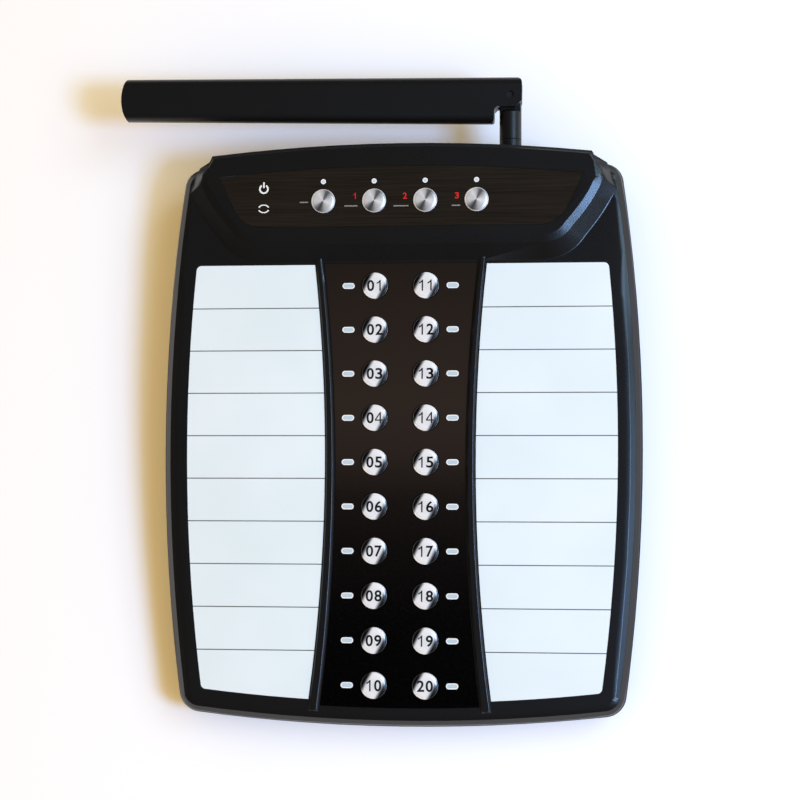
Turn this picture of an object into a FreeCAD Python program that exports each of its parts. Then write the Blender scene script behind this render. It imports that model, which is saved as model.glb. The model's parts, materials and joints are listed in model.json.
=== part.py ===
import FreeCAD, Part
import math
import os

import Sketcher
from FreeCAD import Placement, Rotation, Vector

# A desk console that calls a waiter: twenty numbered keys, four function keys, two label cards
# and a folding antenna. Millimetres. The row frame has +X right, +Y to the rear, +Z up and its
# origin on the underside, below the middle of the case. The top face is tilted towards the user,
# so everything that follows it is drawn in a face frame: x right, y to the rear, z out of the
# face, with its origin in the middle of the keypad, on the deck.

SIZES = {
    # the wedge
    "face_tilt": 3.0,
    "deck_height": 24.0,
    "cover_depth": 12.0,
    "wall": 2.4,
    "panel": 2.2,
    "floor": 2.4,
    # plan of the case, measured from the middle of the keypad
    "half_width": 103.4,
    "front_margin": 17.9,
    "rear_margin": 61.2,
    "waist_y": 19.0,
    "side_radius": 806.0,
    "front_radius": 740.0,
    "rear_radius": 750.0,
    "front_corner": 9.5,
    "shoulder_setback": 8.6,
    "shoulder_corner": 8.5,
    "edge_radius": 7.0,
    "edge_bevel": 4.1,
    "edge_second_bevel": 1.5,
    # the raised head
    "head_rise": 5.5,
    "head_corner_margin": 22.4,
    "head_shoulder_margin": 18.7,
    "head_side_setback": 15.7,
    "head_bend_margin": 31.2,
    "head_bend_gap": 25.1,
    "head_bend_radius": 12.9,
    "head_front_gap": 19.0,
    "slope_run": 8.2,
    "slope_root": 2.0,
    "head_bevel": 1.8,
    "head_roof": 2.6,
    # keypad film, its ridges and the label cards
    "film_thickness": 0.5,
    "film_recess": 0.6,
    "film_waist": 28.0,
    "film_waist_y": 4.0,
    "film_side_radius": 790.0,
    "film_top_gap": 9.8,
    "film_front_margin": 8.3,
    "ridge_height": 1.1,
    "ridge_bevel": 0.75,
    "ridge_root": 1.0,
    "ridge_gap": 0.4,
    "ridge_top_gap": 12.5,
    "ridge_front_margin": 5.9,
    "card_thickness": 0.35,
    "card_recess": 0.45,
    "card_waist": 32.3,
    "card_waist_y": 9.0,
    "card_side_radius": 775.0,
    "card_top_gap": 9.4,
    "card_margin": 10.6,
    "card_corner": 2.2,
    "inlay_gap": 0.15,
    # film on the head
    "head_film_margin": 10.0,
    "head_film_side_margin": 2.4,
    "head_film_bend_margin": 0.8,
    "head_film_bend_gap": 31.7,
    "head_film_front_margin": 11.2,
    "head_film_front_gap": 25.0,
    "head_film_bend_radius": 13.5,
    # keys
    "key_rows": 10,
    "row_pitch": 19.0,
    "column_pitch": 22.0,
    "call_key_radius": 5.65,
    "function_key_radius": 5.15,
    "function_key_gap": 36.1,
    "key_height": 3.4,
    "key_proud": 0.8,
    "key_travel": 0.35,
    "key_flats": 24,
    "small_flats": 12,
    "key_gap": 0.2,
    "plunger_width": 3.8,
    "plunger_gap": 0.1,
    "plunger_engagement": 1.4,
    "switch_width": 12.0,
    "switch_height": 3.3,
    # lamps
    "call_lamp_x": 22.5,
    "lamp_length": 5.2,
    "lamp_width": 2.5,
    "function_lamp_gap": 8.5,
    "function_lamp_width": 2.1,
    "status_x": 58.9,
    "status_power_gap": 42.3,
    "status_link_gap": 33.1,
    "status_width": 4.0,
    "led_length": 1.6,
    "led_width": 0.8,
    "led_height": 0.7,
    "lamp_gap": 0.1,
    # circuit board and what stands on it
    "board_depth": 8.0,
    "board_thickness": 1.6,
    "board_half_width": 40.0,
    "board_front_setback": 7.4,
    "board_step_gap": 17.5,
    "board_rear_setback": 11.2,
    "board_left_margin": 39.4,
    "board_right_margin": 25.4,
    "radio_x": 51.0,
    "radio_gap": 25.5,
    "radio_width": 18.0,
    "radio_length": 16.0,
    "radio_thickness": 1.0,
    "shield_margin": 1.5,
    "shield_height": 2.2,
    "processor_x": 33.0,
    "processor_y": 40.0,
    "processor_width": 10.0,
    "processor_height": 1.2,
    "buzzer_x": 33.0,
    "buzzer_y": -10.0,
    "buzzer_width": 9.0,
    "buzzer_height": 3.0,
    "regulator_margin": 35.4,
    "regulator_gap": 27.5,
    "regulator_width": 6.5,
    "regulator_length": 6.0,
    "regulator_height": 2.3,
    "capacitor_x": 48.0,
    "capacitor_gap": 27.5,
    "capacitor_width": 7.3,
    "capacitor_length": 4.3,
    "capacitor_height": 2.8,
    # fastening
    "screw_margin": 18.4,
    "screw_front_setback": 19.4,
    "screw_rear_gap": 26.5,
    "boss_width": 8.0,
    "pilot_radius": 1.25,
    "pilot_depth": 6.5,
    "screw_radius": 1.2,
    "screw_length": 9.0,
    "screw_head_radius": 2.7,
    "screw_head_height": 1.8,
    "screw_seat": 3.0,
    "socket_width": 9.0,
    "socket_radius": 3.1,
    "socket_hole_radius": 1.6,
    "post_width": 5.0,
    "post_x": 36.0,
    "post_front_setback": 17.4,
    "post_rear_gap": 0.5,
    "wing_post_margin": 43.4,
    "wing_post_left_gap": 24.5,
    "wing_post_right_gap": 41.5,
    # feet
    "foot_length": 22.0,
    "foot_width": 9.0,
    "foot_height": 1.5,
    "foot_well": 0.6,
    "foot_gap": 0.2,
    "foot_margin": 41.4,
    "foot_front_setback": 19.05,
    "foot_rear_setback": 29.05,
    # power inlet
    "jack_margin": 31.4,
    "jack_width": 9.0,
    "jack_length": 12.5,
    "jack_height": 9.6,
    "jack_setback": 8.1,
    "jack_hole": 4.1,
    "jack_bore_radius": 3.15,
    "jack_bore_depth": 10.0,
    "jack_pin_radius": 1.0,
    "jack_pin_length": 9.0,
    # antenna
    "antenna_x": 47.2,
    "antenna_drop": 4.0,
    "hinge_overhang": 21.1,
    "stem_radius": 4.73,
    "stem_bevel": 1.0,
    "shoulder_drop": 6.3,
    "seam_drop": 19.2,
    "seam_gap": 0.15,
    "seat_drop": 23.2,
    "seat_radius": 5.3,
    "seat_depth": 2.0,
    "shank_width": 7.8,
    "shank_gap": 0.15,
    "bushing_tail": 6.6,
    "spigot_radius": 2.45,
    "spigot_gap": 0.06,
    "spigot_tail": 3.0,
    "clip_width": 8.0,
    "clip_mouth": 4.1,
    "clip_thickness": 0.8,
    "clip_gap": 0.1,
    "plate_width": 12.0,
    "plate_mouth": 6.8,
    "plate_thickness": 1.5,
    "plate_drop": 25.3,
    "plate_seat_width": 13.0,
    "plate_seat_depth": 4.0,
    "tongue_thickness": 4.2,
    "tongue_gap": 0.15,
    "hinge_pin_radius": 1.5,
    "hinge_pin_length": 7.6,
    "hinge_pin_gap": 0.05,
    "hinge_pin_fit": 0.01,
    "blade_tilt": 1.03,
    "blade_offset": 1.95,
    "blade_root_width": 20.2,
    "blade_tip_width": 18.5,
    "blade_thickness": 9.6,
    "blade_reach": 170.7,
    "blade_tip_radius": 20.0,
    "blade_edge_radius": 4.0,
    "ear_reach": 4.95,
    "ear_drop": 5.2,
    "ear_bevel": 2.6,
    "ear_corner": 3.0,
    "slot_left": 5.3,
    "slot_top": 5.5,
    "notch_x": 5.6,
    "notch_depth": 1.2,
    "notch_corner": 1.7,
    "radiator_radius": 1.8,
    "radiator_end": 15.4,
    "radiator_gap": 0.02,
    "lead_radius": 0.9,
    "lead_gap": 0.4,
    "plug_gap": 35.8,
    "plug_width": 3.2,
    "plug_height": 5.0,
}
size = dict(SIZES)


def settle(base, sign, **places):
    """Works out places from one base, each with the named distance added or taken away."""
    for place, distance in places.items():
        size[place] = base + sign * size[distance]


# Places that follow from the sizes: margins are from the sides, gaps from the last row of keys,
# and setbacks from the front or rear edge of the case.
size["key_span"] = (size["key_rows"] - 1) * size["row_pitch"]
last_row = size["key_span"] / 2
settle(last_row, 1, front_reach="front_margin", rear_reach="rear_margin")
settle(
    last_row, 1,
    head_bend_y="head_bend_gap", head_front_y="head_front_gap", film_top_y="film_top_gap",
    ridge_top_y="ridge_top_gap", card_top_y="card_top_gap", head_film_bend_y="head_film_bend_gap",
    head_film_front_y="head_film_front_gap", function_key_y="function_key_gap",
    status_power_y="status_power_gap", status_link_y="status_link_gap", board_step_y="board_step_gap",
    radio_y="radio_gap", regulator_y="regulator_gap", capacitor_y="capacitor_gap",
    screw_rear_y="screw_rear_gap", post_rear_y="post_rear_gap", wing_post_left_y="wing_post_left_gap",
    wing_post_right_y="wing_post_right_gap", plug_y="plug_gap",
)
settle(size["function_key_y"], 1, function_lamp_y="function_lamp_gap")
settle(
    size["rear_reach"], -1,
    shoulder_y="shoulder_setback", head_side_y="head_side_setback", board_rear_y="board_rear_setback",
    jack_rear_y="jack_setback",
)
settle(size["rear_reach"], 1, hinge_y="hinge_overhang")
settle(
    size["front_reach"], -1,
    board_front_y="board_front_setback", screw_front_y="screw_front_setback",
    post_front_y="post_front_setback",
)
settle(
    (size["front_reach"] + size["rear_reach"]) / 2, -1,
    foot_front_y="foot_front_setback", foot_rear_y="foot_rear_setback",
)
settle(
    size["half_width"], -1,
    screw_x="screw_margin", foot_x="foot_margin", head_corner_x="head_corner_margin",
    head_shoulder_x="head_shoulder_margin", head_bend_x="head_bend_margin", jack_x="jack_margin",
    board_left="board_left_margin", board_right="board_right_margin", regulator_x="regulator_margin",
    wing_post_x="wing_post_margin",
)
settle(size["head_corner_x"], -1, head_film_side_x="head_film_side_margin")
settle(
    size["head_bend_x"], -1,
    head_film_bend_x="head_film_bend_margin", head_film_front_x="head_film_front_margin",
)
size["radiator_length"] = size["blade_reach"] - size["slot_left"] - size["radiator_end"]


# Plane geometry for the outlines. A path is a list of edges (first point, last point, centre),
# where the centre is None on a straight edge.

def on_circle(centre, radius, towards):
    """The point of a circle that lies in the direction of another point."""
    dx = towards[0] - centre[0]
    dy = towards[1] - centre[1]
    length = math.hypot(dx, dy)
    return (centre[0] + radius * dx / length, centre[1] + radius * dy / length)


def circles_meet(centre_a, radius_a, centre_b, radius_b):
    """Both crossings of two circles."""
    dx = centre_b[0] - centre_a[0]
    dy = centre_b[1] - centre_a[1]
    apart = math.hypot(dx, dy)
    along = (radius_a ** 2 - radius_b ** 2 + apart ** 2) / (2 * apart)
    across = math.sqrt(radius_a ** 2 - along ** 2)
    foot = (centre_a[0] + along * dx / apart, centre_a[1] + along * dy / apart)
    step = (-dy * across / apart, dx * across / apart)
    return (foot[0] + step[0], foot[1] + step[1]), (foot[0] - step[0], foot[1] - step[1])


def right_of(centre, radius, level):
    """The right-hand crossing of a circle with a level line."""
    return centre[0] + math.sqrt(radius ** 2 - (level - centre[1]) ** 2)


def above(centre, radius, across):
    """The upper crossing of a circle with an upright line."""
    return centre[1] + math.sqrt(radius ** 2 - (across - centre[0]) ** 2)


def flip(point):
    """The mirror image across the console's middle line."""
    return (-point[0], point[1])


def mirrored(path):
    """The left-hand half of a path, in the order that closes it."""
    return [(flip(last), flip(first), centre and flip(centre)) for first, last, centre in reversed(path)]


def polygon(*corners):
    """A closed path of straight edges."""
    return [(corners[i], corners[(i + 1) % len(corners)], None) for i in range(len(corners))]


def rectangle(x, y, width, length):
    """A closed rectangle about its middle."""
    return polygon(
        (x - width / 2, y - length / 2),
        (x + width / 2, y - length / 2),
        (x + width / 2, y + length / 2),
        (x - width / 2, y + length / 2),
    )


def arc_centre(first, last, radius):
    """The centre of a short arc that runs counter-clockwise from first to last."""
    mid = ((first[0] + last[0]) / 2, (first[1] + last[1]) / 2)
    dx = last[0] - first[0]
    dy = last[1] - first[1]
    chord = math.hypot(dx, dy)
    rise = math.sqrt(radius ** 2 - (chord / 2) ** 2)
    return (mid[0] - dy / chord * rise, mid[1] + dx / chord * rise)


side_centre = (size["half_width"] - size["side_radius"], size["waist_y"])
front_centre = (0.0, size["front_radius"] - size["front_reach"])
rear_centre = (0.0, size["rear_reach"] - size["rear_radius"])


def case_half(inset):
    """The right-hand side of the case, from the front corner to the end of the shoulder."""
    side = size["side_radius"] - inset
    front = size["front_radius"] - inset
    corner = size["front_corner"] - inset / 2
    shoulder = size["shoulder_corner"] - inset / 2
    front_turn = circles_meet(side_centre, side - corner, front_centre, front - corner)[1]
    if front_turn[1] > 0:
        front_turn = circles_meet(side_centre, side - corner, front_centre, front - corner)[0]
    level = size["shoulder_y"] - inset
    rear_turn = (right_of(side_centre, side - shoulder, level - shoulder), level - shoulder)
    points = [
        on_circle(front_centre, front, front_turn),
        on_circle(side_centre, side, front_turn),
        on_circle(side_centre, side, rear_turn),
        (rear_turn[0], level),
    ]
    return points, [
        (points[0], points[1], front_turn),
        (points[1], points[2], side_centre),
        (points[2], points[3], rear_turn),
    ]


def head_back(inset):
    """Where the head's slanted rear side leaves the shoulder and meets the rear arc."""
    root = (size["head_shoulder_x"], size["shoulder_y"])
    tip = (size["head_corner_x"], above(rear_centre, size["rear_radius"], size["head_corner_x"]))
    length = math.hypot(tip[0] - root[0], tip[1] - root[1])
    along = ((tip[0] - root[0]) / length, (tip[1] - root[1]) / length)
    out = (along[1], -along[0])
    level = size["shoulder_y"] - inset
    notch = (root[0] - inset * (1 - out[1]) / out[0], level)
    start = (notch[0] - rear_centre[0], notch[1] - rear_centre[1])
    half_b = start[0] * along[0] + start[1] * along[1]
    rest = start[0] ** 2 + start[1] ** 2 - (size["rear_radius"] - inset) ** 2
    step = -half_b + math.sqrt(half_b ** 2 - rest)
    return notch, (notch[0] + step * along[0], notch[1] + step * along[1])


def deck_plan():
    """The case without its head: arcs in front and at the sides, straight across the shoulders."""
    points, right = case_half(0.0)
    front = (flip(points[0]), points[0], front_centre)
    back = (points[3], flip(points[3]), None)
    return [front] + right + [back] + mirrored(right)


def case_plan(inset):
    """The whole case with the bulge of its head, moved inwards."""
    points, right = case_half(inset)
    notch, corner = head_back(inset)
    right = right + [(points[3], notch, None), (notch, corner, None)]
    front = (flip(points[0]), points[0], front_centre)
    back = (corner, flip(corner), rear_centre)
    return [front] + right + [back] + mirrored(right)


def head_wall_plan():
    """The rear wall of the head, down to the parting line."""
    notch, corner = head_back(0.0)
    root = (notch[0], size["head_side_y"])
    return [
        (flip(root), root, None),
        (root, notch, None),
        (notch, corner, None),
        (corner, flip(corner), rear_centre),
        (flip(corner), flip(notch), None),
        (flip(notch), flip(root), None),
    ]


def head_plan(spread, inset=0.0):
    """The head at one level: spread widens its front and sides, inset draws the whole in."""
    notch, corner = head_back(inset)
    out = spread - inset
    bend = (size["head_bend_x"], size["head_bend_y"])
    side = (size["head_shoulder_x"], size["head_side_y"])
    length = math.hypot(side[0] - bend[0], side[1] - bend[1])
    normal = ((side[1] - bend[1]) / length, (bend[0] - side[0]) / length)
    side = (side[0] + out * normal[0], side[1] + out * normal[1])
    bend = (bend[0] + out * normal[0], bend[1] + out * normal[1])
    turn = size["head_bend_radius"]
    front_x = size["head_bend_x"] - turn * normal[0]
    front = (front_x, size["head_front_y"] - out)
    shoulder = (notch[0] + max(spread, 0.0) * 0.35, notch[1])
    right = [
        (front, bend, arc_centre(front, bend, turn + out)),
        (bend, side, None),
        (side, shoulder, None),
        (shoulder, corner, None),
    ]
    return [(flip(front), front, None)] + right + [(corner, flip(corner), rear_centre)] + mirrored(right)


def keypad_plan(grow):
    """The keypad film between its two hollow sides."""
    centre = (size["film_waist"] + size["film_side_radius"], size["film_waist_y"])
    radius = size["film_side_radius"] - grow
    top = size["film_top_y"] + grow
    front = size["front_radius"] - size["film_front_margin"] + grow
    top_right = (centre[0] - math.sqrt(radius ** 2 - (top - centre[1]) ** 2), top)
    low_right = circles_meet(centre, radius, front_centre, front)
    low_right = min(low_right, key=lambda point: point[1])
    right = [(low_right, top_right, centre)]
    front_edge = (flip(low_right), low_right, front_centre)
    return [front_edge] + right + [(top_right, flip(top_right), None)] + mirrored(right)


def ridge_plan(side):
    """The rounded ridge between the keypad film and one label card."""
    inner_centre = (size["film_waist"] + size["film_side_radius"], size["film_waist_y"])
    inner = size["film_side_radius"] - size["ridge_gap"]
    outer_centre = (size["card_waist"] + size["card_side_radius"], size["card_waist_y"])
    outer = size["card_side_radius"] + size["ridge_gap"]
    top = size["ridge_top_y"]
    front = size["front_radius"] - size["ridge_front_margin"]
    low_in = min(circles_meet(inner_centre, inner, front_centre, front), key=lambda point: point[1])
    low_out = min(circles_meet(outer_centre, outer, front_centre, front), key=lambda point: point[1])
    top_in = (inner_centre[0] - math.sqrt(inner ** 2 - (top - inner_centre[1]) ** 2), top)
    top_out = (outer_centre[0] - math.sqrt(outer ** 2 - (top - outer_centre[1]) ** 2), top)
    path = [
        (low_in, low_out, front_centre),
        (low_out, top_out, outer_centre),
        (top_out, top_in, None),
        (top_in, low_in, inner_centre),
    ]
    return path if side > 0 else mirrored(path)


def card_plan(side, grow):
    """A label card: straight at the top, hollow towards the keypad, bowed at the outside."""
    inner_centre = (size["card_waist"] + size["card_side_radius"], size["card_waist_y"])
    inner = size["card_side_radius"] + grow
    outer = size["side_radius"] - size["card_margin"] + grow
    front = size["front_radius"] - size["card_margin"] + grow
    top = size["card_top_y"] + grow
    turn = size["card_corner"]
    low_in = min(circles_meet(inner_centre, inner, front_centre, front), key=lambda point: point[1])
    top_in = (inner_centre[0] - math.sqrt(inner ** 2 - (top - inner_centre[1]) ** 2), top)
    low_turn = circles_meet(side_centre, outer - turn, front_centre, front - turn)
    low_turn = max(low_turn, key=lambda point: point[0])
    top_turn = (right_of(side_centre, outer - turn, top - turn), top - turn)
    low_out = on_circle(front_centre, front, low_turn)
    side_low = on_circle(side_centre, outer, low_turn)
    side_top = on_circle(side_centre, outer, top_turn)
    top_out = (top_turn[0], top)
    path = [
        (low_in, low_out, front_centre),
        (low_out, side_low, low_turn),
        (side_low, side_top, side_centre),
        (side_top, top_out, top_turn),
        (top_out, top_in, None),
        (top_in, low_in, inner_centre),
    ]
    return path if side > 0 else mirrored(path)


def head_film_plan(grow):
    """The film on the head, with its sides drawn in towards the front."""
    radius = size["rear_radius"] - size["head_film_margin"] + grow
    side_x = size["head_film_side_x"] + grow
    top = (side_x, above(rear_centre, radius, side_x))
    bend = (size["head_film_bend_x"] + grow, size["head_film_bend_y"])
    front = (size["head_film_front_x"], size["head_film_front_y"] - grow)
    right = [
        (front, bend, arc_centre(front, bend, size["head_film_bend_radius"] + grow)),
        (bend, top, None),
    ]
    return [(flip(front), front, None)] + right + [(top, flip(top), rear_centre)] + mirrored(right)


def blade_plan():
    """The antenna's blade seen along its hinge pin, which is at the origin."""
    root_top = size["blade_root_width"] / 2 - size["blade_offset"]
    root_low = root_top - size["blade_root_width"]
    tip_top = size["blade_tip_width"] / 2 - size["blade_offset"]
    tip_low = tip_top - size["blade_tip_width"]
    bow = size["blade_tip_radius"]
    bow -= math.sqrt(size["blade_tip_radius"] ** 2 - (size["blade_tip_width"] / 2) ** 2)
    tip_x = bow - size["blade_reach"]
    tip_centre = (size["blade_tip_radius"] - size["blade_reach"], -size["blade_offset"])
    reach = size["ear_reach"]
    return [
        ((reach, root_low), (reach, root_top), None),
        ((reach, root_top), (tip_x, tip_top), None),
        ((tip_x, tip_top), (tip_x, tip_low), tip_centre),
        ((tip_x, tip_low), (reach, root_low), None),
    ]


def ear_cut_plan():
    """What is cut away below the ears, where the stem passes when the blade is upright."""
    low = size["blade_root_width"] / 2 + size["blade_offset"]
    reach = size["ear_reach"]
    turn = size["notch_corner"]
    beyond = reach + turn
    under = -low - turn
    notch = -size["notch_x"] - size["notch_depth"]
    heel = (notch - turn, -low)
    bevel = size["ear_bevel"] - size["ear_drop"]
    rest = [
        (notch, turn - low),
        (notch, -size["ear_drop"] - size["notch_depth"]),
        (-size["notch_x"], -size["ear_drop"]),
        (reach - size["ear_bevel"], -size["ear_drop"]),
        (reach, bevel),
        (beyond, bevel),
        (beyond, under),
        (notch - turn, under),
        heel,
    ]
    straight = [(rest[i], rest[i + 1], None) for i in range(len(rest) - 1)]
    return [(heel, rest[0], (heel[0], turn - low))] + straight


def ear_corner_plan():
    """What is cut away to round the ears' upper corner."""
    top = size["blade_root_width"] / 2 - size["blade_offset"]
    reach = size["ear_reach"]
    corner = size["ear_corner"]
    return [
        ((reach - corner, top), (reach, top - corner), (reach - corner, top - corner)),
        ((reach, top - corner), (reach + corner, top - corner), None),
        ((reach + corner, top - corner), (reach + corner, top + corner), None),
        ((reach + corner, top + corner), (reach - corner, top + corner), None),
        ((reach - corner, top + corner), (reach - corner, top), None),
    ]


def tongue_plan():
    """The knuckle's tongue: straight up from the shoulder, round about the pin."""
    radius = size["stem_radius"]
    root = size["shoulder_drop"] + size["stem_bevel"]
    return [
        ((-radius, -root), (radius, -root), None),
        ((radius, -root), (radius, 0.0), None),
        ((radius, 0.0), (0.0, radius), (0.0, 0.0)),
        ((0.0, radius), (-radius, 0.0), (0.0, 0.0)),
        ((-radius, 0.0), (-radius, -root), None),
    ]


# Levels and places that follow from the sizes, in the face frame.
size["face_y"] = (size["front_reach"] - size["rear_reach"]) / 2
size["cover_low"] = -size["cover_depth"]
size["room_inset"] = size["edge_radius"] - size["wall"] / 2
size["room_depth"] = size["cover_depth"] - size["panel"]
size["head_inset"] = size["wall"] + 0.75
size["head_ceiling"] = size["head_rise"] - size["head_roof"]
size["head_room"] = size["cover_depth"] + size["head_ceiling"]
size["slope_low"] = -size["slope_root"]
size["ridge_low"] = -size["ridge_root"]
size["ridge_pad"] = size["ridge_height"] + size["ridge_root"]
size["film_low"] = -size["film_recess"]
size["card_low"] = -size["card_recess"]
size["head_film_low"] = size["head_rise"] - size["film_recess"]
size["board_top"] = -size["board_depth"]
size["board_low"] = size["board_top"] - size["board_thickness"]
size["post_top_height"] = size["board_depth"] - size["panel"]
size["wing_post_height"] = size["board_depth"] + size["head_ceiling"]
size["switch_top"] = size["board_top"] + size["switch_height"]
size["plunger_low"] = size["switch_top"] - size["plunger_engagement"]
size["plunger_well"] = size["plunger_engagement"] + size["key_travel"] + size["plunger_gap"]
size["well_width"] = size["plunger_width"] + 2 * size["plunger_gap"]
size["call_cap_low"] = size["key_proud"] - size["key_height"]
size["function_cap_low"] = size["call_cap_low"] + size["head_rise"]
size["call_plunger"] = size["call_cap_low"] - size["plunger_low"]
size["function_plunger"] = size["function_cap_low"] - size["plunger_low"]
size["key_front_y"] = -last_row
size["key_x"] = size["column_pitch"] / 2
size["function_left_x"] = -1.5 * size["column_pitch"]
size["function_span"] = 3 * size["column_pitch"]
size["call_hole"] = size["call_key_radius"] + size["key_gap"]
size["function_hole"] = size["function_key_radius"] + size["key_gap"]
size["call_opening"] = 2 * size["call_hole"]
size["function_opening"] = 2 * size["function_hole"]
size["guide_low"] = size["board_top"] + size["led_height"] + size["lamp_gap"]
size["call_lamp_height"] = size["film_low"] - size["board_top"]
size["head_guide"] = size["head_film_low"] - size["guide_low"]
size["shield_low"] = size["board_top"] + size["radio_thickness"]
size["shield_width"] = size["radio_width"] - 2 * size["shield_margin"]
size["shield_length"] = size["radio_length"] - 2 * size["shield_margin"]
size["shield_x"] = size["radio_x"]
size["shield_y"] = size["radio_y"]
size["radio_height"] = size["radio_thickness"]
size["processor_length"] = size["processor_width"]
size["buzzer_length"] = size["buzzer_width"]
size["screw_low"] = size["cover_low"] - size["screw_seat"]
size["tray_depth"] = 2 * size["deck_height"]
size["space"] = 2 * (size["front_reach"] + size["rear_reach"])
size["socket_depth"] = size["tray_depth"]
size["socket_low"] = size["cover_low"] - size["socket_depth"]
size["support_depth"] = size["tray_depth"]
size["support_low"] = size["board_low"] - size["support_depth"]
size["well_length"] = size["foot_length"] + 2 * size["foot_gap"]
size["well_breadth"] = size["foot_width"] + 2 * size["foot_gap"]
size["foot_depth"] = size["foot_height"] + size["foot_well"]
size["antenna_z"] = -size["antenna_drop"]
size["slot_thickness"] = size["tongue_thickness"] + 2 * size["tongue_gap"]
size["hinge_hole"] = size["hinge_pin_radius"] + size["hinge_pin_gap"]
size["tongue_hole"] = size["hinge_pin_radius"] + size["hinge_pin_fit"]
size["stem_length"] = size["seam_drop"] - size["seam_gap"] - size["shoulder_drop"]
size["stem_straight"] = size["stem_length"] - size["stem_bevel"]
size["stem_neck"] = size["stem_radius"] - size["stem_bevel"]
size["collar_length"] = size["seat_drop"] - size["seam_drop"]
size["shank_hole"] = size["shank_width"] + 2 * size["shank_gap"]
size["spigot_bore"] = size["spigot_radius"] + size["spigot_gap"]
size["bushing_drop"] = size["seat_drop"] + size["bushing_tail"]
size["spigot_drop"] = size["bushing_drop"] + size["spigot_tail"]
size["plate_low"] = size["plate_drop"] + size["plate_thickness"]
size["clip_drop"] = size["bushing_drop"] + size["clip_gap"] + size["clip_thickness"]
size["stem_drop"] = size["seam_drop"] - size["seam_gap"]
size["tongue_limit"] = size["seam_drop"] + size["stem_radius"]
size["lead_length"] = (
    size["hinge_y"] - size["spigot_drop"] - size["lead_gap"] - size["plug_y"] - size["plug_width"] / 2
)
size["spigot_length"] = size["spigot_drop"] - size["seam_drop"] + size["seam_gap"]
size["channel_width"] = 2 * (size["radiator_radius"] + size["radiator_gap"])
size["channel_end"] = size["slot_left"] + size["radiator_length"] + 1.0
size["jack_z"] = size["board_top"] + size["jack_height"] / 2

# The outlines, each with a name that starts its cells in the sheet.
plans = {
    "deck": deck_plan(),
    "shell": case_plan(0.0),
    "tray_room": case_plan(size["wall"]),
    "room": case_plan(size["room_inset"]),
    "head_wall": head_wall_plan(),
    "slope_foot": head_plan(size["slope_run"] * (1 + size["slope_root"] / size["head_rise"])),
    "head_top": head_plan(0.0),
    "head_inside": head_plan(0.0, size["head_inset"]),
    "keypad_seat": keypad_plan(0.0),
    "keypad": keypad_plan(-size["inlay_gap"]),
    "ridge_left": ridge_plan(-1),
    "ridge_right": ridge_plan(1),
    "card_seat_left": card_plan(-1, 0.0),
    "card_seat_right": card_plan(1, 0.0),
    "card_left": card_plan(-1, -size["inlay_gap"]),
    "card_right": card_plan(1, -size["inlay_gap"]),
    "head_film_seat": head_film_plan(0.0),
    "head_film": head_film_plan(-size["inlay_gap"]),
    "board": polygon(
        (-size["board_half_width"], -size["board_front_y"]),
        (size["board_half_width"], -size["board_front_y"]),
        (size["board_half_width"], size["board_step_y"]),
        (size["board_right"], size["board_step_y"]),
        (size["board_right"], size["board_rear_y"]),
        (-size["board_left"], size["board_rear_y"]),
        (-size["board_left"], size["board_step_y"]),
        (-size["board_half_width"], size["board_step_y"]),
    ),
    "blade": blade_plan(),
    "ear_cut": ear_cut_plan(),
    "ear_corner": ear_corner_plan(),
    "slot": polygon(
        (-size["slot_left"], -size["blade_root_width"]),
        (size["blade_root_width"], -size["blade_root_width"]),
        (size["blade_root_width"], size["slot_top"]),
        (-size["slot_left"], size["slot_top"]),
    ),
    "channel": rectangle(
        -(size["slot_left"] + size["channel_end"]) / 2,
        -size["blade_offset"],
        size["channel_end"] - size["slot_left"] + 2 * size["tongue_gap"],
        size["channel_width"],
    ),
    "tongue": tongue_plan(),
}

doc = FreeCAD.newDocument("call_console")
sheet = doc.addObject("Spreadsheet::Sheet", "Sizes")
cell_row = 0


def store(name, number):
    """One named cell of the sheet."""
    global cell_row
    cell_row += 1
    sheet.set("A%d" % cell_row, name)
    sheet.set("B%d" % cell_row, repr(float(number)))
    sheet.setAlias("B%d" % cell_row, name)


for name, number in size.items():
    store(name, number)
for name, path in plans.items():
    for index, (first, last, centre) in enumerate(path):
        store("%s_x_%d" % (name, index), first[0])
        store("%s_y_%d" % (name, index), first[1])
        if centre:
            store("%s_r_%d" % (name, index), math.dist(first, centre))
doc.recompute()

tilt = Rotation(Vector(1, 0, 0), size["face_tilt"])
face_middle = size["face_y"] * math.cos(math.radians(size["face_tilt"]))
face_frame = Placement(Vector(0, face_middle, size["deck_height"]), tilt)
antenna_frame = face_frame * Placement(
    Vector(size["antenna_x"], size["hinge_y"], size["antenna_z"]), Rotation()
)
blade_frame = antenna_frame * Placement(Vector(), Rotation(Vector(0, 0, 1), -size["blade_tilt"]))

nodes = []


def finish(item, label, frame=None):
    """Names a finished sub-part and gives it its place."""
    item.Label = label
    if frame is not None:
        item.Placement = frame
    nodes.append(item)
    return item


def bind(item, prop, name):
    item.setExpression(prop, "Sizes." + name)


def origin_plane(body, role):
    return next(feature for feature in body.Origin.OriginFeatures if feature.Role == role)


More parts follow.
